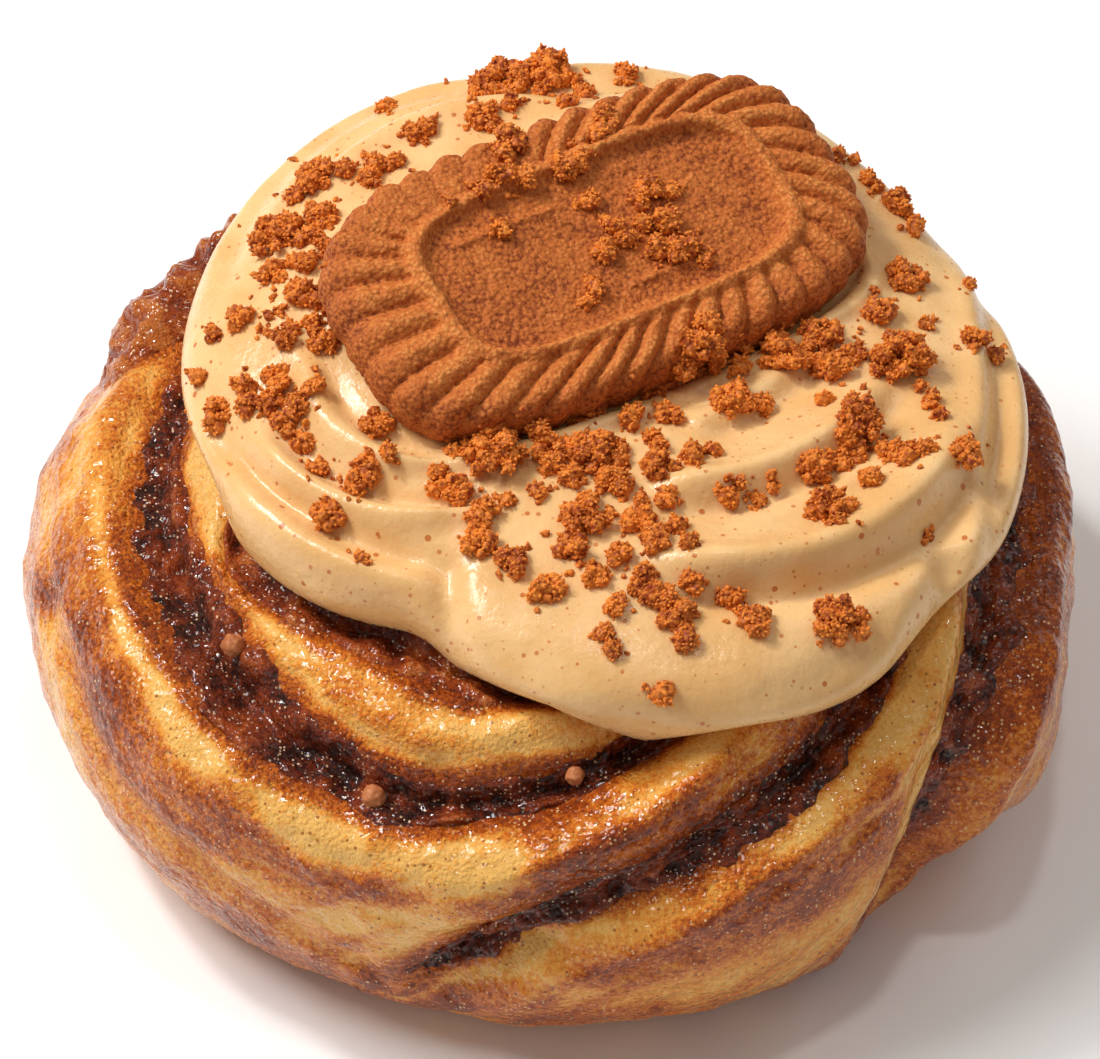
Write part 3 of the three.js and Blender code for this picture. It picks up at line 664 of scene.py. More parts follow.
# filling: sticky strips along the seams
filling = {
    "spacing": 0.42,  # of the rings along a seam
    "across": 30,
    "margin": 0.5,  # by which a strip is wider on either side
    "raise": 0.55,
    "lumps": [(0.9, 3.2, 22), (0.5, 1.4, 23)],  # strength, size and seed
    "crystals": (0.3, 0.75, 24),
    "grain": (0.12, 0.5, 25),
    "deepest": -0.4,  # of the hollows between lumps, so that no dough shows
    "ragged": [(0.3, 3.4, 20), (0.12, 1.3, 21)],
    "edge": 0.6,  # how far the strips' edges lie under the dough
    "sink": 3.5,
    "taper": 7,  # length over which the outer end thickens
    # pale specks: sugar grains, and painted glints (painted highlights)
    "sugarAndGlint": tone(246, 206, 166),
    "colours": [
        (0.3, tone(46, 13, 3)),
        (0.5, tone(112, 38, 9)),
        (0.72, tone(160, 66, 18)),
        (0.95, tone(202, 112, 46)),
    ],
}


def alongSeam(seam, station, across):
    # the place on the smooth crust that lies across millimetres to the side of the seam
    angle = np.interp(station, seam["along"], seam["angle"])
    rise = np.interp(station, seam["along"], seam["rise"])
    side = np.stack([np.interp(station, seam["along"], seam["side"][:, k]) for k in range(3)], 1)
    a = np.radians(angle)
    turn = np.stack([-np.sin(a), np.cos(a), 0 * a], 1)
    upward = crustPoint(angle, np.minimum(rise + 0.01, 1)) - crustPoint(angle, np.maximum(rise - 0.01, 0))
    perRise = np.linalg.norm(upward, axis=1) / 0.02
    radius = np.maximum(crustSection(rise)[0], 4)
    byAngle = np.degrees((side * turn).sum(1) * across / radius)
    byRise = (side * upward).sum(1) / 0.02 / perRise**2 * across
    return angle + byAngle, np.clip(rise + byRise, 0, 1)


def buildFilling():
    f = filling
    allPoints, allFaces, high = [], [], []
    for seam in seams:
        end = np.interp(0.93, seam["rise"], seam["along"]) if seam["rise"][-1] > 0.93 else seam["along"][-1]
        stations = np.arange(0.5, end, f["spacing"])
        half = np.interp(stations, seam["along"], seam["half"]) * seam["spread"] + f["margin"]
        shares = np.linspace(-1, 1, f["across"])
        station, share = (a.ravel() for a in np.meshgrid(stations, shares, indexing="ij"))
        width = np.repeat(half, f["across"])
        angle, rise = alongSeam(seam, station, share * width)
        smooth = crustPoint(angle, rise)
        normal = crustNormal(angle, rise)
        height = doughHeight(smooth, angle, rise)[0]
        cover = smoothstep(1 - np.abs(share) * (1 + noises(smooth, f["ragged"])), -0.1, 0.5)
        lumps = noises(smooth, f["lumps"]) + np.abs(noises(smooth, [f["crystals"]]))
        lumps = np.maximum(lumps + noises(smooth, [f["grain"]]), f["deepest"])
        lift = (f["edge"] + f["raise"] + lumps) * cover * smoothstep(station, 0, f["taper"]) - f["edge"]
        if "overrun" in seam:
            fade = smoothstep(station, 2, seamFade) * (1 - smoothstep(station, end - seamFade, end))
            uneven = 0.8 + 0.25 * noise(smooth, 2.5, 26)
            lift += seam["overrun"] * fade * np.exp(-((share * 1.5) ** 2)) * uneven
        top = smooth + normal * (height + lift)[:, None]
        top[:, 2] = np.maximum(top[:, 2], 0.6)
        under = smooth + normal * (height - f["sink"])[:, None]
        under[:, 2] = np.maximum(under[:, 2], 0.3)
        top = top.reshape(len(stations), -1, 3)
        under = under.reshape(len(stations), -1, 3)[:, 2:-2:3][:, ::-1]
        rings = np.concatenate([top, under], 1)
        crests = np.concatenate([lumps.reshape(len(stations), -1), np.zeros(under.shape[:2])], 1)
        high.append(np.r_[0, crests.ravel(), 0])
        first, last = rings[0].mean(0), rings[-1].mean(0)
        offset = sum(len(p) for p in allPoints)
        allPoints.append(np.vstack([first, rings.reshape(-1, 3), last]))
        faces = closedFaces(len(stations), rings.shape[1])
        allFaces += [[i + offset for i in face] for face in faces]
    paintedLight = [np.full(len(points), seam.get("paintedLight", 0.0)) for points, seam in zip(allPoints, seams)]
    marks = {"paintedLight": np.concatenate(paintedLight), "high": np.concatenate(high)}
    mesh = makeMesh("filling", np.vstack(allPoints), allFaces, marks)
    makePiece("fillingStrips", mesh, fillingMaterial(), "filling")


def fillingMaterial():
    f = filling
    material, tree, shader, place = newMaterial(
        "stickySpice", Roughness=0.45, Specular_IOR_Level=0.12,
        Coat_Weight=1.0, Coat_Roughness=0.06, Coat_IOR=1.4,
    )
    lumps = shadeNoise(tree, place, 2.0, 4, 0.6)
    grain = shadeNoise(tree, place, 0.35, 3, 0.65)
    level = maths(tree, "MULTIPLY_ADD", lumps, 0.9, maths(tree, "MULTIPLY_ADD", grain, 0.8, -0.38))
    level = maths(tree, "MULTIPLY_ADD", attribute(tree, "high"), 0.28, level)
    # painted light: the filling of some seams is painted paler, as if more brightly lit
    level = maths(tree, "MULTIPLY_ADD", attribute(tree, "paintedLight"), 0.22, level)
    # pale specks in clusters: sugar grains, and painted glints (painted highlights)
    sugarAndGlintShare = ramp(tree, shadeNoise(tree, place, 3.0, 2.0), 0.4, 0.6, 0.15, 1.0)
    colour = colourSteps(tree, level, f["colours"])
    colour = addSpecks(tree, place, colour, f["sugarAndGlint"], (0.5, 0.17, 0.9), sugarAndGlintShare)
    tree.links.new(colour, shader.inputs["Base Color"])
    height = maths(tree, "MULTIPLY_ADD", grain, 0.8, maths(tree, "MULTIPLY", lumps, 1.2))
    bump(tree, shader, height, 1.0, 0.75)
    glaze = maths(tree, "MULTIPLY_ADD", domes(tree, place, 1.1), 0.4, shadeNoise(tree, place, 2.0, 1.0))
    bump(tree, shader, glaze, 1.0, 0.8, "Coat Normal")
    return material


buildFilling()
print("stage: filling")

# icing
icing = {
    "thickness": 7.2,
    "edgeWidth": 6.5,
    "rimTurn": 2.75,  # radians through which the rim's section turns
    "underReach": 2.2,  # how far the underside runs in behind the edge, in edge widths
    "underSink": (3, 4),  # how deep it lies in the dough there and in the middle
    "columns": 460,
    "topRows": 134,
    "rimRows": 72,
    "soft": [(0.22, 7, 40), (0.06, 2.2, 41)],  # unevenness: strength, size and seed
    "seenRim": 0.6,  # share of the rim's section that is uneven and gives way to the biscuit
    "margin": 1.2,  # by which the hollow is longer and wider than the biscuit
    "pressed": 0.5,  # how far the biscuit's underside is sunk
    # round the hollow: shares of the biscuit's outline between which the icing comes free again, and the
    # height, place and width of the low wall that stands up there
    "freed": (0.985, 1.25),
    "wall": (0.7, 1.07, 0.05),
    "centre": (5.9, -1.2),
    # where the rim meets the crust: angle and rise
    "edge": [
        (-20, 0.61), (8, 0.6), (32, 0.61), (65, 0.66), (105, 0.69), (148, 0.71), (180, 0.74), (200, 0.755),
        (213, 0.745), (231, 0.755), (247, 0.77), (260, 0.735), (276, 0.685), (293, 0.645), (312, 0.62),
        (326, 0.635),
    ],
    # thicker and thinner places: x, y, spread both ways and height
    "mounds": [(-20, 11, 20, 24, 6.8), (3, 32, 28, 16, 6), (15, -1, 17, 11, -2.6), (16, 27, 14, 10, 4.4)],
    # ridges along bent arcs about the centre: angle from and to, radius at the start, middle and end,
    # width, height, and the side of the valley beside it
    "folds": [
        (36, -42, 44.8, 38.4, 44.8, 1.7, 1.7, -1),
        (32, -38, 46, 41.6, 45.6, 1.9, 1.3, 1),
        (-84, -4, 27.5, 33.2, 36.6, 2.5, 2.7, -1),
        (-78, 0, 19, 22.6, 28.5, 2.2, 1.9, -1),
        (-50, 6, 12, 14.5, 20, 2.2, 1.1, -1),
        (182, 244, 45.8, 40.6, 34.4, 2.1, 1.8, 1),
        (194, 240, 38.2, 34.2, 25.5, 1.8, 1.6, 1),
        (188, 224, 32, 30.4, 25, 1.7, 1.2, 1),
        (196, 216, 41, 40.2, 38, 1.1, 0.6, 1),
        (150, 96, 36.5, 35.2, 31.5, 2.2, 1.4, -1),
        (170, 106, 42, 45.5, 40.5, 1.8, 0.9, 1),
        (-74, -46, 46.5, 45.6, 43.6, 2.0, 0.9, 1),
        (110, 30, 38, 41, 40, 3.2, 1.5, 1),
        (100, 20, 28, 31, 30, 3.0, 1.2, -1),
    ],
    "valley": (0.8, 1.3, 1.4),  # its depth in heights, its place in widths and how sharp it is
    # short creases down to the rim: x and y of both ends, width and depth
    "creases": [(-11, -27, -10.5, -40, 1.7, 1.8), (39.4, -21.5, 41.4, -29.5, 1.9, 2.4)],
    "light": tone(239, 194, 134),
    "mid": tone(229, 178, 114),
    "speck": tone(192, 98, 30),
    # spacing, largest radius and share that shows, and strength
    "specks": [
        ((2.6, 0.42, 0.9), 0.85), ((1.5, 0.3, 0.9), 0.7), ((1.0, 0.2, 0.8), 0.45), ((5.5, 0.5, 0.8), 0.9),
    ],
}


def icingThickness(x, y):
    thickness = icing["thickness"]
    for cx, cy, wide, deep, height in icing["mounds"]:
        thickness = thickness + height * np.exp(-(((x - cx) / wide) ** 2) - ((y - cy) / deep) ** 2)
    return thickness


def icingFoldHeight(x, y):
    dx, dy = x - icing["centre"][0], y - icing["centre"][1]
    radius, angle = np.hypot(dx, dy), np.degrees(np.arctan2(dy, dx))
    depth, offset, sharpness = icing["valley"]
    height = 0
    for start, end, first, halfway, last, width, rise, side in icing["folds"]:
        middle = (start + end) / 2
        share = (turnBetween(angle, middle) + middle - start) / (end - start)
        t = np.clip(share, -0.1, 1.1)
        bent = first * (1 - t) * (1 - 2 * t) + halfway * 4 * t * (1 - t) + last * t * (2 * t - 1)
        across = (radius - bent) / width
        fade = smoothstep(share, -0.05, 0.22) * (1 - smoothstep(share, 0.78, 1.05))
        valley = depth * np.exp(-sharpness * (across + offset * side) ** 2)
        height = height + rise * fade * (hump(across, 1) - valley)
    for x0, y0, x1, y1, width, depth in icing["creases"]:
        t = ((x - x0) * (x1 - x0) + (y - y0) * (y1 - y0)) / ((x1 - x0) ** 2 + (y1 - y0) ** 2)
        away = np.hypot(x - x0 - (x1 - x0) * t, y - y0 - (y1 - y0) * t)
        fade = smoothstep(t, 0, 0.35) * (1 - smoothstep(t, 1.0, 1.3))
        height = height - depth * fade * hump(away, width)
    return height


def icingHeight(point):
    return icingThickness(point[:, 0], point[:, 1]) + icingFoldHeight(point[:, 0], point[:, 1])


edgeLine = throughPoints([(a + turn, r * 100) for turn in (-360, 0, 360) for a, r in icing["edge"]], 24)


def edgeRise(angle):
    return np.interp(angle, edgeLine[:, 0], edgeLine[:, 1]) / 100


def icingTop(angle, rise):
    point = crustPoint(angle, rise)
    return point + crustNormal(angle, rise) * (icingHeight(point) + unevenness(angle, rise))[:, None]


# biscuit's place, needed by the icing that it is pressed into
biscuit = {
    "length": 63.4,
    "width": 33,
    "thickness": 7.5,
    "squareness": 3.5,  # exponent of the outline
    "ribs": 38,
    "panelLength": 42.2,
    "panelWidth": 19.2,
    "panelSquareness": 4.1,
    "panelDepth": 1.0,
    "beadHeight": 0.5,
    "rimWidth": 9,  # roughly, from the panel to the outline
    "centre": (5.9, 8.3, 63.2),  # of the top
    "turn": (19, 5, 34),  # degrees about x, y and z
    "columns": 720,
    "rows": 120,
    "ribHeight": 1.15,
    "ribGroove": 0.55,  # share of a rib's height by which the surface between ribs is sunk
    "ribUnevenness": 0.2,
    "lean": -1.9,  # how many ribs the slant passes on its way from the panel to the rim
    "leanLeft": -0.3,  # the same at the left end
    "leftEnd": 0.53,  # share of the way round at which the left end lies
    "leftReach": (0.05, 0.17),  # shares of the way round over which the lean changes
    "panelLines": [(-17.5, -1.5, 5.6), (-2, 9, -6.2)],  # from and to along the panel, and across it
    "panelLineHeight": 0.42,
    "panelLineWidth": 0.55,
    "worn": (0.7, -0.55),  # how far the back left rim is worn, and the height that it is worn to
    "grain": [(0.1, 0.9, 50), (0.09, 0.5, 51), (0.13, 3.2, 52)],  # strength, size and seed
    "colours": [(0.0, tone(132, 56, 17)), (0.3, tone(194, 104, 40)), (0.62, tone(224, 140, 68))],
}
biscuitPlace = Matrix.Translation(biscuit["centre"]) @ (
    Matrix.Rotation(math.radians(biscuit["turn"][2]), 4, "Z")
    @ Matrix.Rotation(math.radians(biscuit["turn"][1]), 4, "Y")
    @ Matrix.Rotation(math.radians(biscuit["turn"][0]), 4, "X")
)
biscuitTurn = np.array(biscuitPlace.to_3x3())
biscuitCentre = np.array(biscuit["centre"], float)


def outOfBiscuit(points):
    return (points - biscuitCentre) @ biscuitTurn


def intoBiscuit(points):
    return points @ biscuitTurn.T + biscuitCentre


def outlineShare(points, length, width, squareness):
    # 0 in the middle of the outline and 1 on it
    u, v = np.abs(points[:, 0]) * 2 / length, np.abs(points[:, 1]) * 2 / width
    return (u**squareness + v**squareness) ** (1 / squareness)


def pressBiscuit(points):
    # the icing gives way under the biscuit and stands up a little round it
    b, c = biscuit, icing
    local = outOfBiscuit(points)
    share = outlineShare(local, b["length"] + c["margin"], b["width"] + c["margin"], b["squareness"])
    height, place, width = c["wall"]
    wall = height * hump(share - place, width) * smoothstep(-local[:, 2], -1, 3)
    free = 60 * smoothstep(share, *c["freed"])
    local[:, 2] = np.minimum(local[:, 2] + wall, c["pressed"] - b["thickness"] + free)
    return intoBiscuit(local)


def buildIcing():
    c = icing
    angles = np.arange(c["columns"]) / c["columns"] * 360
    edge = edgeRise(angles)
    riseForWidth = c["edgeWidth"] / crust["sectionLength"]
    rows = []
    for row in range(1, c["topRows"] + 1):
        rise = 1 - row / c["topRows"] * (1 - edge - riseForWidth)
        rows.append(icingTop(angles, rise))
    for row in range(1, c["rimRows"] + 1):
        turn = row / c["rimRows"] * c["rimTurn"]
        rise = edge + riseForWidth * (1 - math.sin(turn))
        point = crustPoint(angles, rise)
        drape = seamRelief(point) * smoothstep(turn, 0.4, 2.2)
        height = icingHeight(point) / 2 * (1 + math.cos(turn)) + unevenness(angles, rise) + drape
        rows.append(point + crustNormal(angles, rise) * height[:, None])
    sunk, sunkMiddle = c["underSink"]
    inner = edge + c["underReach"] * riseForWidth
    rows.append(crustPoint(angles, inner) - sunk * crustNormal(angles, inner))
    top = icingTop(np.zeros(1), np.ones(1))
    points = np.vstack([top, *rows, [[0, 0, crust["topHeight"] - sunkMiddle]]])
    outside = np.arange(len(points)) < 1 + c["columns"] * (c["topRows"] + c["rimRows"] * c["seenRim"])
    points = np.where(outside[:, None], pressBiscuit(points), points)
    points[:, 2] += noises(points, c["soft"]) * outside
    mesh = makeMesh("icing", points, closedFaces(len(rows), c["columns"]))
    makePiece("icingCream", mesh, icingMaterial(), "icing")


def icingMaterial():
    c = icing
    material, tree, shader, place = newMaterial(
        "creamIcing", Roughness=0.26, IOR=1.45,
        Subsurface_Weight=0.2, Subsurface_Radius=(1.0, 0.62, 0.35), Subsurface_Scale=3 * mm,
    )
    cloud = shadeNoise(tree, place, 9, 3)
    colour = blendColours(tree, ramp(tree, cloud, 0.35, 0.65), c["light"], c["mid"])
    for spots, strength in c["specks"]:
        colour = addSpecks(tree, place, colour, c["speck"], spots, strength)
    tree.links.new(colour, shader.inputs["Base Color"])
    fine = shadeNoise(tree, place, 1.1, 4, 0.55)
    tree.links.new(ramp(tree, fine, 0.3, 0.7, 0.16, 0.32), shader.inputs["Roughness"])
    bump(tree, shader, fine, 0.4, 0.35)
    return material


buildIcing()
print("stage: icing")


# biscuit
def biscuitOutline(angle, length, width, squareness):
    halves = np.array([length, width]) / 2
    way = np.stack([np.cos(angle), np.sin(angle)], -1)
    return halves * np.sign(way) * np.abs(way) ** (2 / squareness)


def evenOutline(count, length, width, squareness):
    # points of the outline at even distances
    line = biscuitOutline(np.linspace(0, 2 * np.pi, 4001), length, width, squareness)
    way = np.r_[0, np.cumsum(np.linalg.norm(np.diff(line, axis=0), axis=1))]
    at = np.arange(count) / count * way[-1]
    return np.stack([np.interp(at, way, line[:, k]) for k in range(2)], 1)


def profileLine(count):
    # the section from the middle of the panel over the rim to the underside, at even distances: share of the
    # way from the panel's edge to the outline, height, and how strong the ribs are
    b = biscuit
    levels = [
        (-0.7, -b["panelDepth"], 0), (-0.3, -b["panelDepth"], 0), (-0.12, -b["panelDepth"], 0),
        (-0.03, -b["panelDepth"] * 0.6, 0), (0.04, b["beadHeight"] - 0.1, 0), (0.1, b["beadHeight"] + 0.1, 0),
        (0.17, b["beadHeight"] - 0.2, 0.1), (0.24, -0.3, 0.7), (0.34, -0.3, 1), (0.6, -0.4, 1),
        (0.8, -0.8, 1), (0.92, -1.8, 0.8), (0.98, -3.3, 0.55), (0.985, -5, 0.45), (0.96, -6.4, 0.3),
        (0.88, -b["thickness"], 0.1), (0.6, -b["thickness"], 0),
    ]
    line = throughPoints([(share * b["rimWidth"], z, rib) for share, z, rib in levels], 30)
    way = np.r_[0, np.cumsum(np.hypot(np.diff(line[:, 0]), np.diff(line[:, 1])))]
    out, z, rib = (np.interp(np.linspace(0, way[-1], count), way, line[:, k]) for k in range(3))
    return out / b["rimWidth"], z, rib


def biscuitBody():
    b = biscuit
    count = b["columns"]
    outer = evenOutline(count, b["length"], b["width"], b["squareness"])
    inner = evenOutline(count, b["panelLength"], b["panelWidth"], b["panelSquareness"])
    shares, heights, ribs = profileLine(b["rows"])
    rings = [np.c_[inner + (outer - inner) * share, np.full(count, z)] for share, z in zip(shares, heights)]
    points = np.vstack([[[0, 0, heights[0]]], *rings, [[0, 0, heights[-1]]]])
    marks = {
        "around": np.tile(np.arange(count) / count, b["rows"]),
        "outward": np.repeat(shares, count),
        "ribbed": np.repeat(ribs, count),
    }
    marks = {name: np.r_[0, values, 0] for name, values in marks.items()}
    return makeMesh("biscuit", points, closedFaces(b["rows"], count), marks)


def ribTree(material):
    # moves the rim's surface out into slanting rounded ribs, each a little different
    settings = ("Number", "Lean", "Lean at the left", "Height", "Groove", "Unevenness")
    kinds = {"Biscuit": "Geometry"} | {name: "Float" for name in settings}
    tree, given = newNodeGroup("ribsOnRim", kinds, "Ribbed")
    around, outward, ribbed = (
        addNode(tree, "GeometryNodeInputNamedAttribute", {"Name": name}).outputs[0]
        for name in ("around", "outward", "ribbed")
    )
    # the ribs lean less at the left end
    away = maths(tree, "ABSOLUTE", maths(tree, "SUBTRACT", around, biscuit["leftEnd"]))
    leftward = ramp(tree, away, *biscuit["leftReach"], 1.0, 0.0)
    change = maths(tree, "SUBTRACT", given["Lean at the left"], given["Lean"])
    lean = maths(tree, "MULTIPLY_ADD", leftward, change, given["Lean"])
    inward = maths(tree, "SUBTRACT", 1.0, outward)
    turned = maths(tree, "MULTIPLY_ADD", inward, lean, maths(tree, "MULTIPLY", around, given["Number"]))
    # each rib has a rounded section and its own height
    rib = maths(tree, "ROUND", turned)
    part = maths(tree, "ABSOLUTE", maths(tree, "SUBTRACT", turned, rib))
    ridge = maths(tree, "COSINE", maths(tree, "MULTIPLY", part, math.pi))
    ridge = maths(tree, "POWER", maths(tree, "MAXIMUM", ridge, 0.0), 0.75)
    chance = addNode(tree, "FunctionNodeRandomValue", {2: -1.0, 3: 1.0, "ID": rib, "Seed": 5}).outputs[1]
    size = maths(tree, "MULTIPLY_ADD", chance, given["Unevenness"], 1.0)
    lift = maths(tree, "MULTIPLY", maths(tree, "MULTIPLY", ridge, given["Height"]), size)
    lift = maths(tree, "MULTIPLY", maths(tree, "SUBTRACT", lift, given["Groove"]), ribbed)
    normal = addNode(tree, "GeometryNodeInputNormal").outputs[0]
    push = addNode(tree, "ShaderNodeVectorMath", {0: normal, "Scale": lift}, operation="SCALE").outputs[0]
    moved = addNode(tree, "GeometryNodeSetPosition", {"Geometry": given["Biscuit"], "Offset": push})
    finishNodeGroup(tree, moved.outputs[0], material)
    return tree


def buildBiscuit():
    b = biscuit
    material = biscuitMaterial()
    values = {
        "Number": float(b["ribs"]),
        "Lean": b["lean"],
        "Lean at the left": b["leanLeft"],
        "Height": b["ribHeight"] * mm,
        "Groove": b["ribHeight"] * b["ribGroove"] * mm,
        "Unevenness": b["ribUnevenness"],
    }
    mesh = runNodeGroup("biscuit", biscuitBody(), ribTree(material), values)
    points, normals = (vertexVectors(mesh, key) for key in ("co", "normal"))
    points /= mm
    top = smoothstep(points[:, 2], -2.5, -1.2)
    # the back left rim is worn nearly smooth
    wear, level = b["worn"]
    worn = smoothstep(-points[:, 0], -4, 8) * smoothstep(points[:, 1], 7, 12)
    points[:, 2] += (level - points[:, 2]) * worn * top * wear
    # faint straight ridges on the panel
    for x0, x1, y in b["panelLines"]:
        along = smoothstep(points[:, 0], x0, x0 + 3) * (1 - smoothstep(points[:, 0], x1 - 3, x1))
        points[:, 2] += b["panelLineHeight"] * along * hump(points[:, 1] - y, b["panelLineWidth"]) * top
    setAttribute(mesh, "high", smoothstep(points[:, 2], -1.3, 0.5))
    points = intoBiscuit(points + normals * noises(points, b["grain"])[:, None])
    mesh.vertices.foreach_set("co", (points * mm).ravel())
    mesh.polygons.foreach_set("use_smooth", np.full(len(mesh.polygons), True))
    mesh.update()
    makePiece("biscuitBaked", mesh, material, "biscuit")


def biscuitMaterial():
    b = biscuit
    material, tree, shader, place = newMaterial(
        "bakedBiscuit", Roughness=0.7, Specular_IOR_Level=0.3,
        Subsurface_Weight=0.05, Subsurface_Scale=0.8 * mm,
    )
    grain = shadeNoise(tree, place, 0.4, 3, 0.65)
    patch = shadeNoise(tree, place, 5, 4, 0.6)
    sand = cells(tree, place, 0.6)["Distance"]
    level = maths(tree, "MULTIPLY_ADD", grain, 0.9, -0.25)
    level = maths(tree, "MULTIPLY_ADD", attribute(tree, "high"), 0.2, level)
    level = maths(tree, "ADD", level, maths(tree, "MULTIPLY_ADD", patch, 0.5, -0.25))
    level = maths(tree, "MULTIPLY_ADD", sand, -0.35, maths(tree, "ADD", level, 0.2))
    tree.links.new(colourSteps(tree, level, b["colours"]), shader.inputs["Base Color"])
    tree.links.new(ramp(tree, grain, 0.45, 0.75, 0.75, 0.4), shader.inputs["Roughness"])
    bump(tree, shader, maths(tree, "SUBTRACT", grain, sand), 0.8, 0.28)
    return material


buildBiscuit()
print("stage: biscuit")

# crumbs
photo = {"width": 1100, "middle": (550, 529.5), "pixelsPerMm": 8.84}
crumbs = {
    "seed": 11,
    "lobe": 0.7,  # radius of the lobes that a clump is made of
    "lobeSize": (0.75, 0.5),  # over that radius, at least and how much more
    "lobeNoise": (0.2, 0.7),  # of a lobe's surface: strength and size
    "lobes": 1.5,  # in a clump as wide as one lobe
    "flatness": 0.8,  # of a clump
    "swell": 1.4,  # radius of a clump over that in the photograph
    "single": 0.6,  # largest radius of a crumb that is one lobe
    "strewn": (1, 5),  # small crumbs round a clump: at least, and fewer than
    "strewnAway": (1.3, 1.2),  # how far off they lie in its radii, at least and how much more
    "strewnSize": (0.28, 0.45),  # their radius, at least and how much more
    "grain": 0.24,
    "density": 2.3,  # grains on each square millimetre of a lobe
    "grainLean": (0.8, 0.8, 3.0),  # how far the grains are turned, in radians
    "grainSize": ((0.65, 0.65, 1.0), (1.1, 1.1, 2.3)),  # over the grain's radius
    "light": tone(240, 140, 50),
    "dark": tone(140, 48, 4),
    "pelletLight": tone(206, 132, 84),
    "pelletDark": tone(166, 94, 50),
    # round pellets on the dough: across, down and radius, in the photograph's pixels
    "pellets": [(235, 644, 11), (571, 773, 9), (375, 801, 11)],
    "pelletKnobs": [(0.1, 0.35, 60), (0.05, 0.16, 63)],  # strength, size and seed
    "pelletSunk": 0.55,  # height of a pellet's middle in its radii
}
# clumps as they stand in the photograph: across, down and radius, in its pixels
crumbPlaces = {
    "crumbsBack": [
        (522, 76, 15), (547, 67, 21), (565, 76, 11), (494, 86, 21), (540, 90, 9), (482, 113, 15),
        (508, 101, 8), (576, 82, 6), (386, 107, 7), (427, 126, 10), (412, 132, 8), (568, 100, 8),
        (627, 74, 11), (836, 155, 8), (852, 159, 6), (875, 186, 6), (897, 202, 14), (914, 226, 10),
        (968, 284, 6),
    ],
    "crumbsLeft": [
        (317, 175, 18), (345, 166, 9), (378, 168, 14), (400, 160, 8), (368, 181, 9), (298, 195, 9),
        (322, 213, 15), (280, 232, 22), (308, 237, 11), (300, 260, 11), (276, 271, 12), (312, 262, 9),
        (303, 291, 13), (318, 300, 8), (240, 317, 12), (215, 333, 7), (286, 333, 12), (312, 320, 7),
        (320, 338, 14), (200, 378, 7), (245, 384, 12), (279, 378, 15), (250, 405, 10), (270, 401, 12),
        (315, 385, 9), (217, 413, 14), (300, 405, 11), (286, 421, 13), (305, 441, 10), (376, 422, 13),
        (318, 468, 9), (366, 469, 15), (388, 453, 8), (352, 490, 9), (330, 510, 13), (360, 555, 6),
        (270, 315, 5),
    ],
    "crumbsFront": [
        (455, 486, 14), (436, 472, 7), (482, 514, 15), (478, 540, 14), (510, 562, 13), (538, 492, 8),
        (545, 587, 14), (575, 546, 15), (452, 452, 7), (495, 446, 24), (540, 432, 14), (545, 457, 14),
        (575, 452, 18), (570, 475, 10), (585, 413, 17), (630, 416, 12), (650, 391, 12), (668, 382, 9),
        (670, 411, 12), (655, 440, 10), (660, 464, 15), (690, 456, 13), (713, 450, 7), (666, 496, 10),
        (640, 500, 7), (603, 450, 18), (611, 480, 15), (588, 512, 19), (640, 520, 13), (655, 537, 13),
        (678, 525, 7), (690, 540, 9), (615, 555, 12), (597, 574, 12), (640, 572, 11), (636, 588, 7),
        (690, 580, 10), (659, 595, 14), (675, 611, 15), (681, 635, 11), (618, 603, 11), (607, 632, 8),
        (612, 650, 7), (662, 690, 9), (505, 500, 6), (433, 490, 6),
    ],
    "crumbsRight": [
        (732, 598, 10), (755, 619, 14), (838, 617, 21), (831, 507, 19), (730, 493, 9), (757, 500, 8),
        (742, 480, 6), (774, 485, 6), (812, 464, 15), (838, 462, 9), (850, 449, 13), (855, 414, 22),
        (825, 398, 7), (906, 451, 13), (886, 450, 8), (926, 446, 9), (872, 477, 11), (732, 396, 16),
        (762, 402, 9), (740, 366, 9), (788, 351, 24), (822, 332, 17), (830, 362, 18), (852, 350, 11),
        (880, 311, 14), (900, 356, 27), (925, 325, 6), (903, 276, 18), (975, 338, 12), (993, 356, 9),
        (932, 400, 8), (963, 451, 14), (938, 413, 6), (925, 535, 5),
    ],
    "crumbsOnBiscuit": [
        (510, 137, 12), (503, 149, 10), (500, 175, 12), (525, 175, 8), (483, 190, 7), (563, 163, 12),
        (578, 158, 8), (603, 112, 9), (600, 130, 9), (500, 228, 7), (508, 195, 4), (450, 203, 5),
        (650, 186, 12), (667, 188, 8), (640, 200, 9), (590, 200, 8), (612, 224, 8), (627, 237, 9),
        (645, 222, 8), (665, 220, 12), (655, 245, 10), (675, 250, 12), (691, 245, 9), (603, 248, 12),
        (706, 260, 6), (592, 286, 9), (590, 305, 6), (700, 340, 17), (715, 355, 10), (682, 360, 13),
        (700, 370, 8), (707, 322, 9), (322, 245, 10), (330, 222, 7), (745, 345, 6),
    ],
}
# heaps at the back, which the photograph hides: angle, rise and radius in millimetres
hiddenClumps = [
    (62, 0.74, 1.9), (66, 0.77, 1.3), (84, 0.8, 1.6), (98, 0.76, 2.1), (40, 0.7, 1.2), (52, 0.8, 1.5),
]


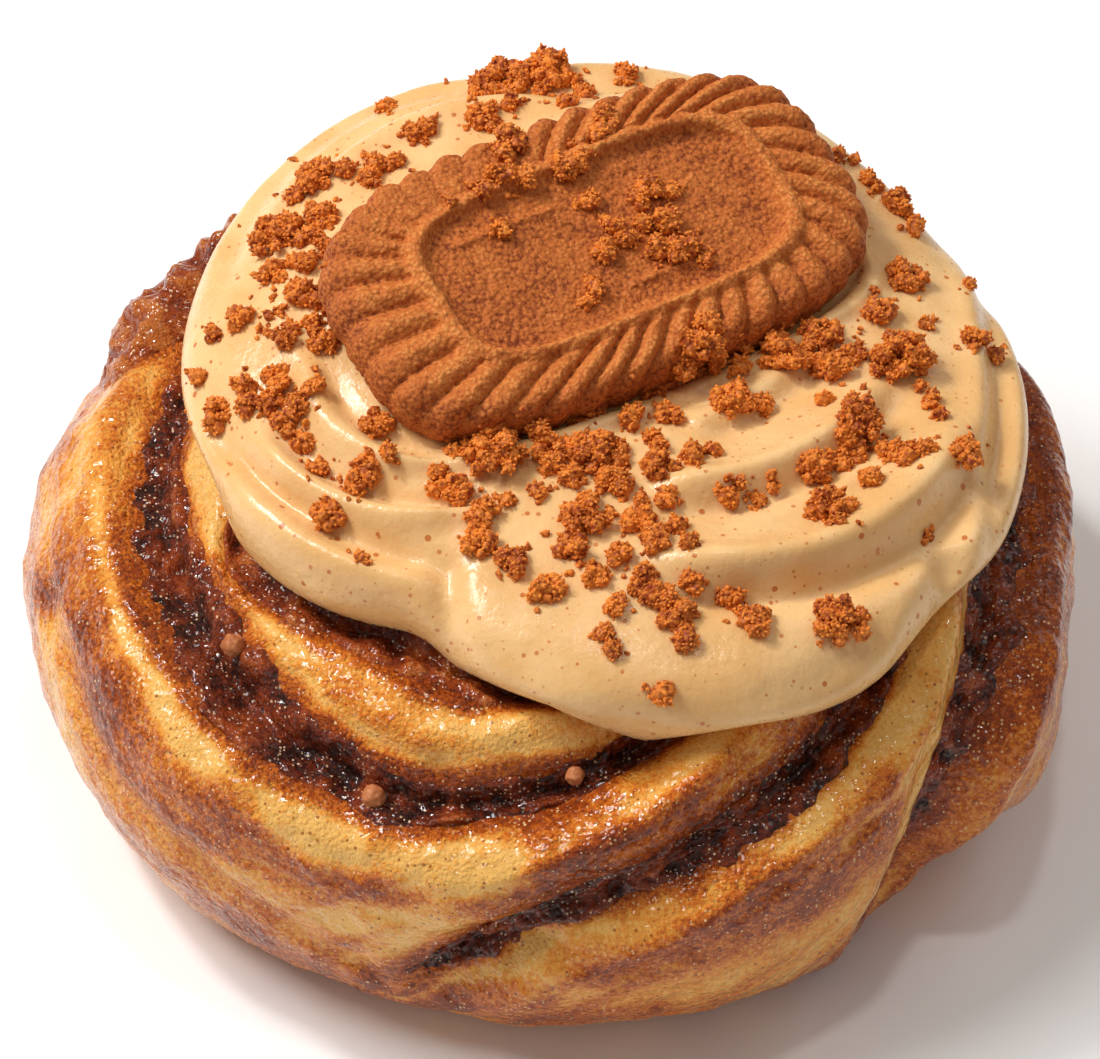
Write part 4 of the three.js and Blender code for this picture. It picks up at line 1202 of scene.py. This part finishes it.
def surfaceFinder(names):
    # finds the place that shows at a pixel of the photograph, and moves inwards where nothing shows
    scene = bpy.context.evaluated_depsgraph_get()
    shapes = [BVHTree.FromObject(bpy.data.objects[name], scene) for name in names]
    camera = bpy.context.scene.camera
    turn = camera.matrix_world.to_3x3()
    focal = studio["lens"] / studio["sensor"] * photo["width"]

    def find(across, down):
        for step in range(40):
            share = 1 - 0.01 * step
            x, y = (across - photo["middle"][0]) * share, (down - photo["middle"][1]) * share
            way = (turn @ Vector((x, -y, -focal))).normalized()
            hits = [shape.ray_cast(camera.location, way) for shape in shapes]
            hits = [hit for hit in hits if hit[0] is not None]
            if hits:
                place, normal = min(hits, key=lambda hit: hit[3])[:2]
                return np.array(place) / mm, np.array(normal)

    return find


def crumbClumps(draw):
    # middle, upward direction and radius of every clump, with smaller ones strewn about them
    c = crumbs
    find = surfaceFinder(["icingCream", "biscuitBaked"])
    found = {}
    for name, places in crumbPlaces.items():
        clumps = []
        for across, down, radius in places:
            place, normal = find(across, down + 0.35 * radius)
            clumps.append((place, normal, radius / photo["pixelsPerMm"] * c["swell"]))
            for _ in range(draw.integers(*c["strewn"])):
                turn = draw.random() * 2 * math.pi
                away = radius * (c["strewnAway"][0] + c["strewnAway"][1] * draw.random())
                place, normal = find(across + away * math.cos(turn), down + 0.7 * away * math.sin(turn))
                clumps.append((place, normal, c["strewnSize"][0] + c["strewnSize"][1] * draw.random() ** 2))
        found[name] = clumps
    angle, rise, radius = np.array(hiddenClumps).T
    for place, size in zip(icingTop(angle, rise), radius):
        found["crumbsBack"].append((place, np.array([0, 0, 1.0]), size))
    return found


def icoBall(subdivisions):
    shape = bmesh.new()
    bmesh.ops.create_icosphere(shape, subdivisions=subdivisions, radius=1)
    points = np.array([v.co for v in shape.verts])
    faces = [[v.index for v in face.verts] for face in shape.faces]
    shape.free()
    return points, faces


def crumbCores(clumps, draw):
    # each clump is a heap of lobes on the surface
    c = crumbs
    ball, ballFaces = icoBall(2)
    points, faces = [], []
    for middle, normal, radius in clumps:
        up = normal * 0.5 + np.array([0, 0, 0.5])
        up /= np.linalg.norm(up)
        lobe = min(c["lobe"], radius * 0.62)
        number = max(1, round(c["lobes"] * (radius / c["lobe"]) ** 2)) if radius > c["single"] else 1
        for _ in range(number):
            size = lobe * (c["lobeSize"][0] + c["lobeSize"][1] * draw.random())
            # most lobes lie near the clump's outside; those under the surface are folded up over it
            way = draw.normal(size=3)
            way = way / np.linalg.norm(way) * (radius - 0.7 * size) * draw.random() ** 0.4 * (number > 1)
            depth = way @ up
            way = way + up * (abs(depth) * c["flatness"] - depth)
            strength, lump = c["lobeNoise"]
            shape = ball * (size * (1 + strength * noise(ball + 9 * draw.random(), lump)))[:, None]
            faces += [[corner + len(points) * len(ball) for corner in face] for face in ballFaces]
            points.append(shape + middle + way + up * 0.25 * size)
    return np.vstack(points), faces


def randomVector(tree, low, high, seed):
    values = {0: low, 1: high, "Seed": seed}
    return addNode(tree, "FunctionNodeRandomValue", values, data_type="FLOAT_VECTOR").outputs[0]


def crumbTree(material):
    # covers the lobes with elongated grains that point outwards
    kinds = {"Clumps": "Geometry", "Grain radius": "Float", "Density": "Float", "Seed": "Int"}
    tree, given = newNodeGroup("crumbGrains", kinds, "Crumbs")
    values = {"Mesh": given["Clumps"], "Density": given["Density"], "Seed": given["Seed"]}
    spread = addNode(tree, "GeometryNodeDistributePointsOnFaces", values).outputs
    values = {"Radius": given["Grain radius"], "Subdivisions": 1}
    grain = addNode(tree, "GeometryNodeMeshIcoSphere", values).outputs["Mesh"]
    place = addNode(tree, "GeometryNodeInputPosition").outputs[0]
    height = addNode(tree, "ShaderNodeSeparateXYZ", {0: place}).outputs["Z"]
    # each grain's height over its radius, for the painted highlight at its outer end and the painted shade at
    # its base
    values = {"Geometry": grain, "Name": "tip", "Value": maths(tree, "DIVIDE", height, given["Grain radius"])}
    tipped = addNode(tree, "GeometryNodeStoreNamedAttribute", values, data_type="FLOAT", domain="POINT")
    lean = crumbs["grainLean"]
    lean = randomVector(tree, tuple(-angle for angle in lean), lean, 2)
    lean = addNode(tree, "FunctionNodeEulerToRotation", {0: lean}).outputs[0]
    values = {0: spread["Rotation"], 1: lean}
    turn = addNode(tree, "FunctionNodeRotateRotation", values, rotation_space="LOCAL").outputs[0]
    size = randomVector(tree, *crumbs["grainSize"], 3)
    values = {"Points": spread["Points"], "Instance": tipped.outputs[0], "Rotation": turn, "Scale": size}
    placed = addNode(tree, "GeometryNodeInstanceOnPoints", values)
    both = addNode(tree, "GeometryNodeJoinGeometry")
    tree.links.new(placed.outputs[0], both.inputs[0])
    tree.links.new(given["Clumps"], both.inputs[0])
    finishNodeGroup(tree, both.outputs[0], material)
    return tree


def crumbMaterial(name, light, dark):
    material, tree, shader, place = newMaterial(
        name, Roughness=0.6, Specular_IOR_Level=0.3,
        Subsurface_Weight=0.12, Subsurface_Radius=(1.0, 0.5, 0.2), Subsurface_Scale=0.8 * mm,
    )
    grain = shadeNoise(tree, place, 0.6, 2, 0.6)
    patch = shadeNoise(tree, place, 4, 2)
    level = maths(tree, "ADD", maths(tree, "MULTIPLY", grain, 0.8), maths(tree, "MULTIPLY", patch, 0.4))
    # painted highlight and shade: the grains' outer ends are painted paler and their bases darker
    level = maths(tree, "MULTIPLY_ADD", attribute(tree, "tip"), 0.16, level)
    colour = blendColours(tree, ramp(tree, level, 0.4, 0.8), dark, light)
    tree.links.new(colour, shader.inputs["Base Color"])
    return material


def buildCrumbs():
    c = crumbs
    material = crumbMaterial("sugaryCrumb", c["light"], c["dark"])
    tree = crumbTree(material)
    draw = np.random.default_rng(c["seed"])
    for seed, (name, clumps) in enumerate(crumbClumps(draw).items()):
        points, faces = crumbCores(clumps, draw)
        heaps = makeMesh("clumps", points, faces, smooth=False)
        values = {"Grain radius": c["grain"] * mm, "Density": c["density"] / mm**2, "Seed": seed}
        makePiece(name, runNodeGroup(name, heaps, tree, values), material)


def buildPellets():
    c = crumbs
    find = surfaceFinder(["doughCrust", "fillingStrips"])
    ball, ballFaces = icoBall(4)
    points, faces = [], []
    for k, (across, down, radius) in enumerate(c["pellets"]):
        place, normal = find(across, down)
        size = radius / photo["pixelsPerMm"]
        knobs = 1 + noises(ball, [(strength, lump, seed + k) for strength, lump, seed in c["pelletKnobs"]])
        faces += [[corner + k * len(ball) for corner in face] for face in ballFaces]
        points.append(ball * size * knobs[:, None] + place + normal * size * c["pelletSunk"])
    mesh = makeMesh("pellets", np.vstack(points), faces)
    material = crumbMaterial("roundPellet", c["pelletLight"], c["pelletDark"])
    makePiece("spicePellets", mesh, material)


buildCrumbs()
buildPellets()
print("stage: crumbs")
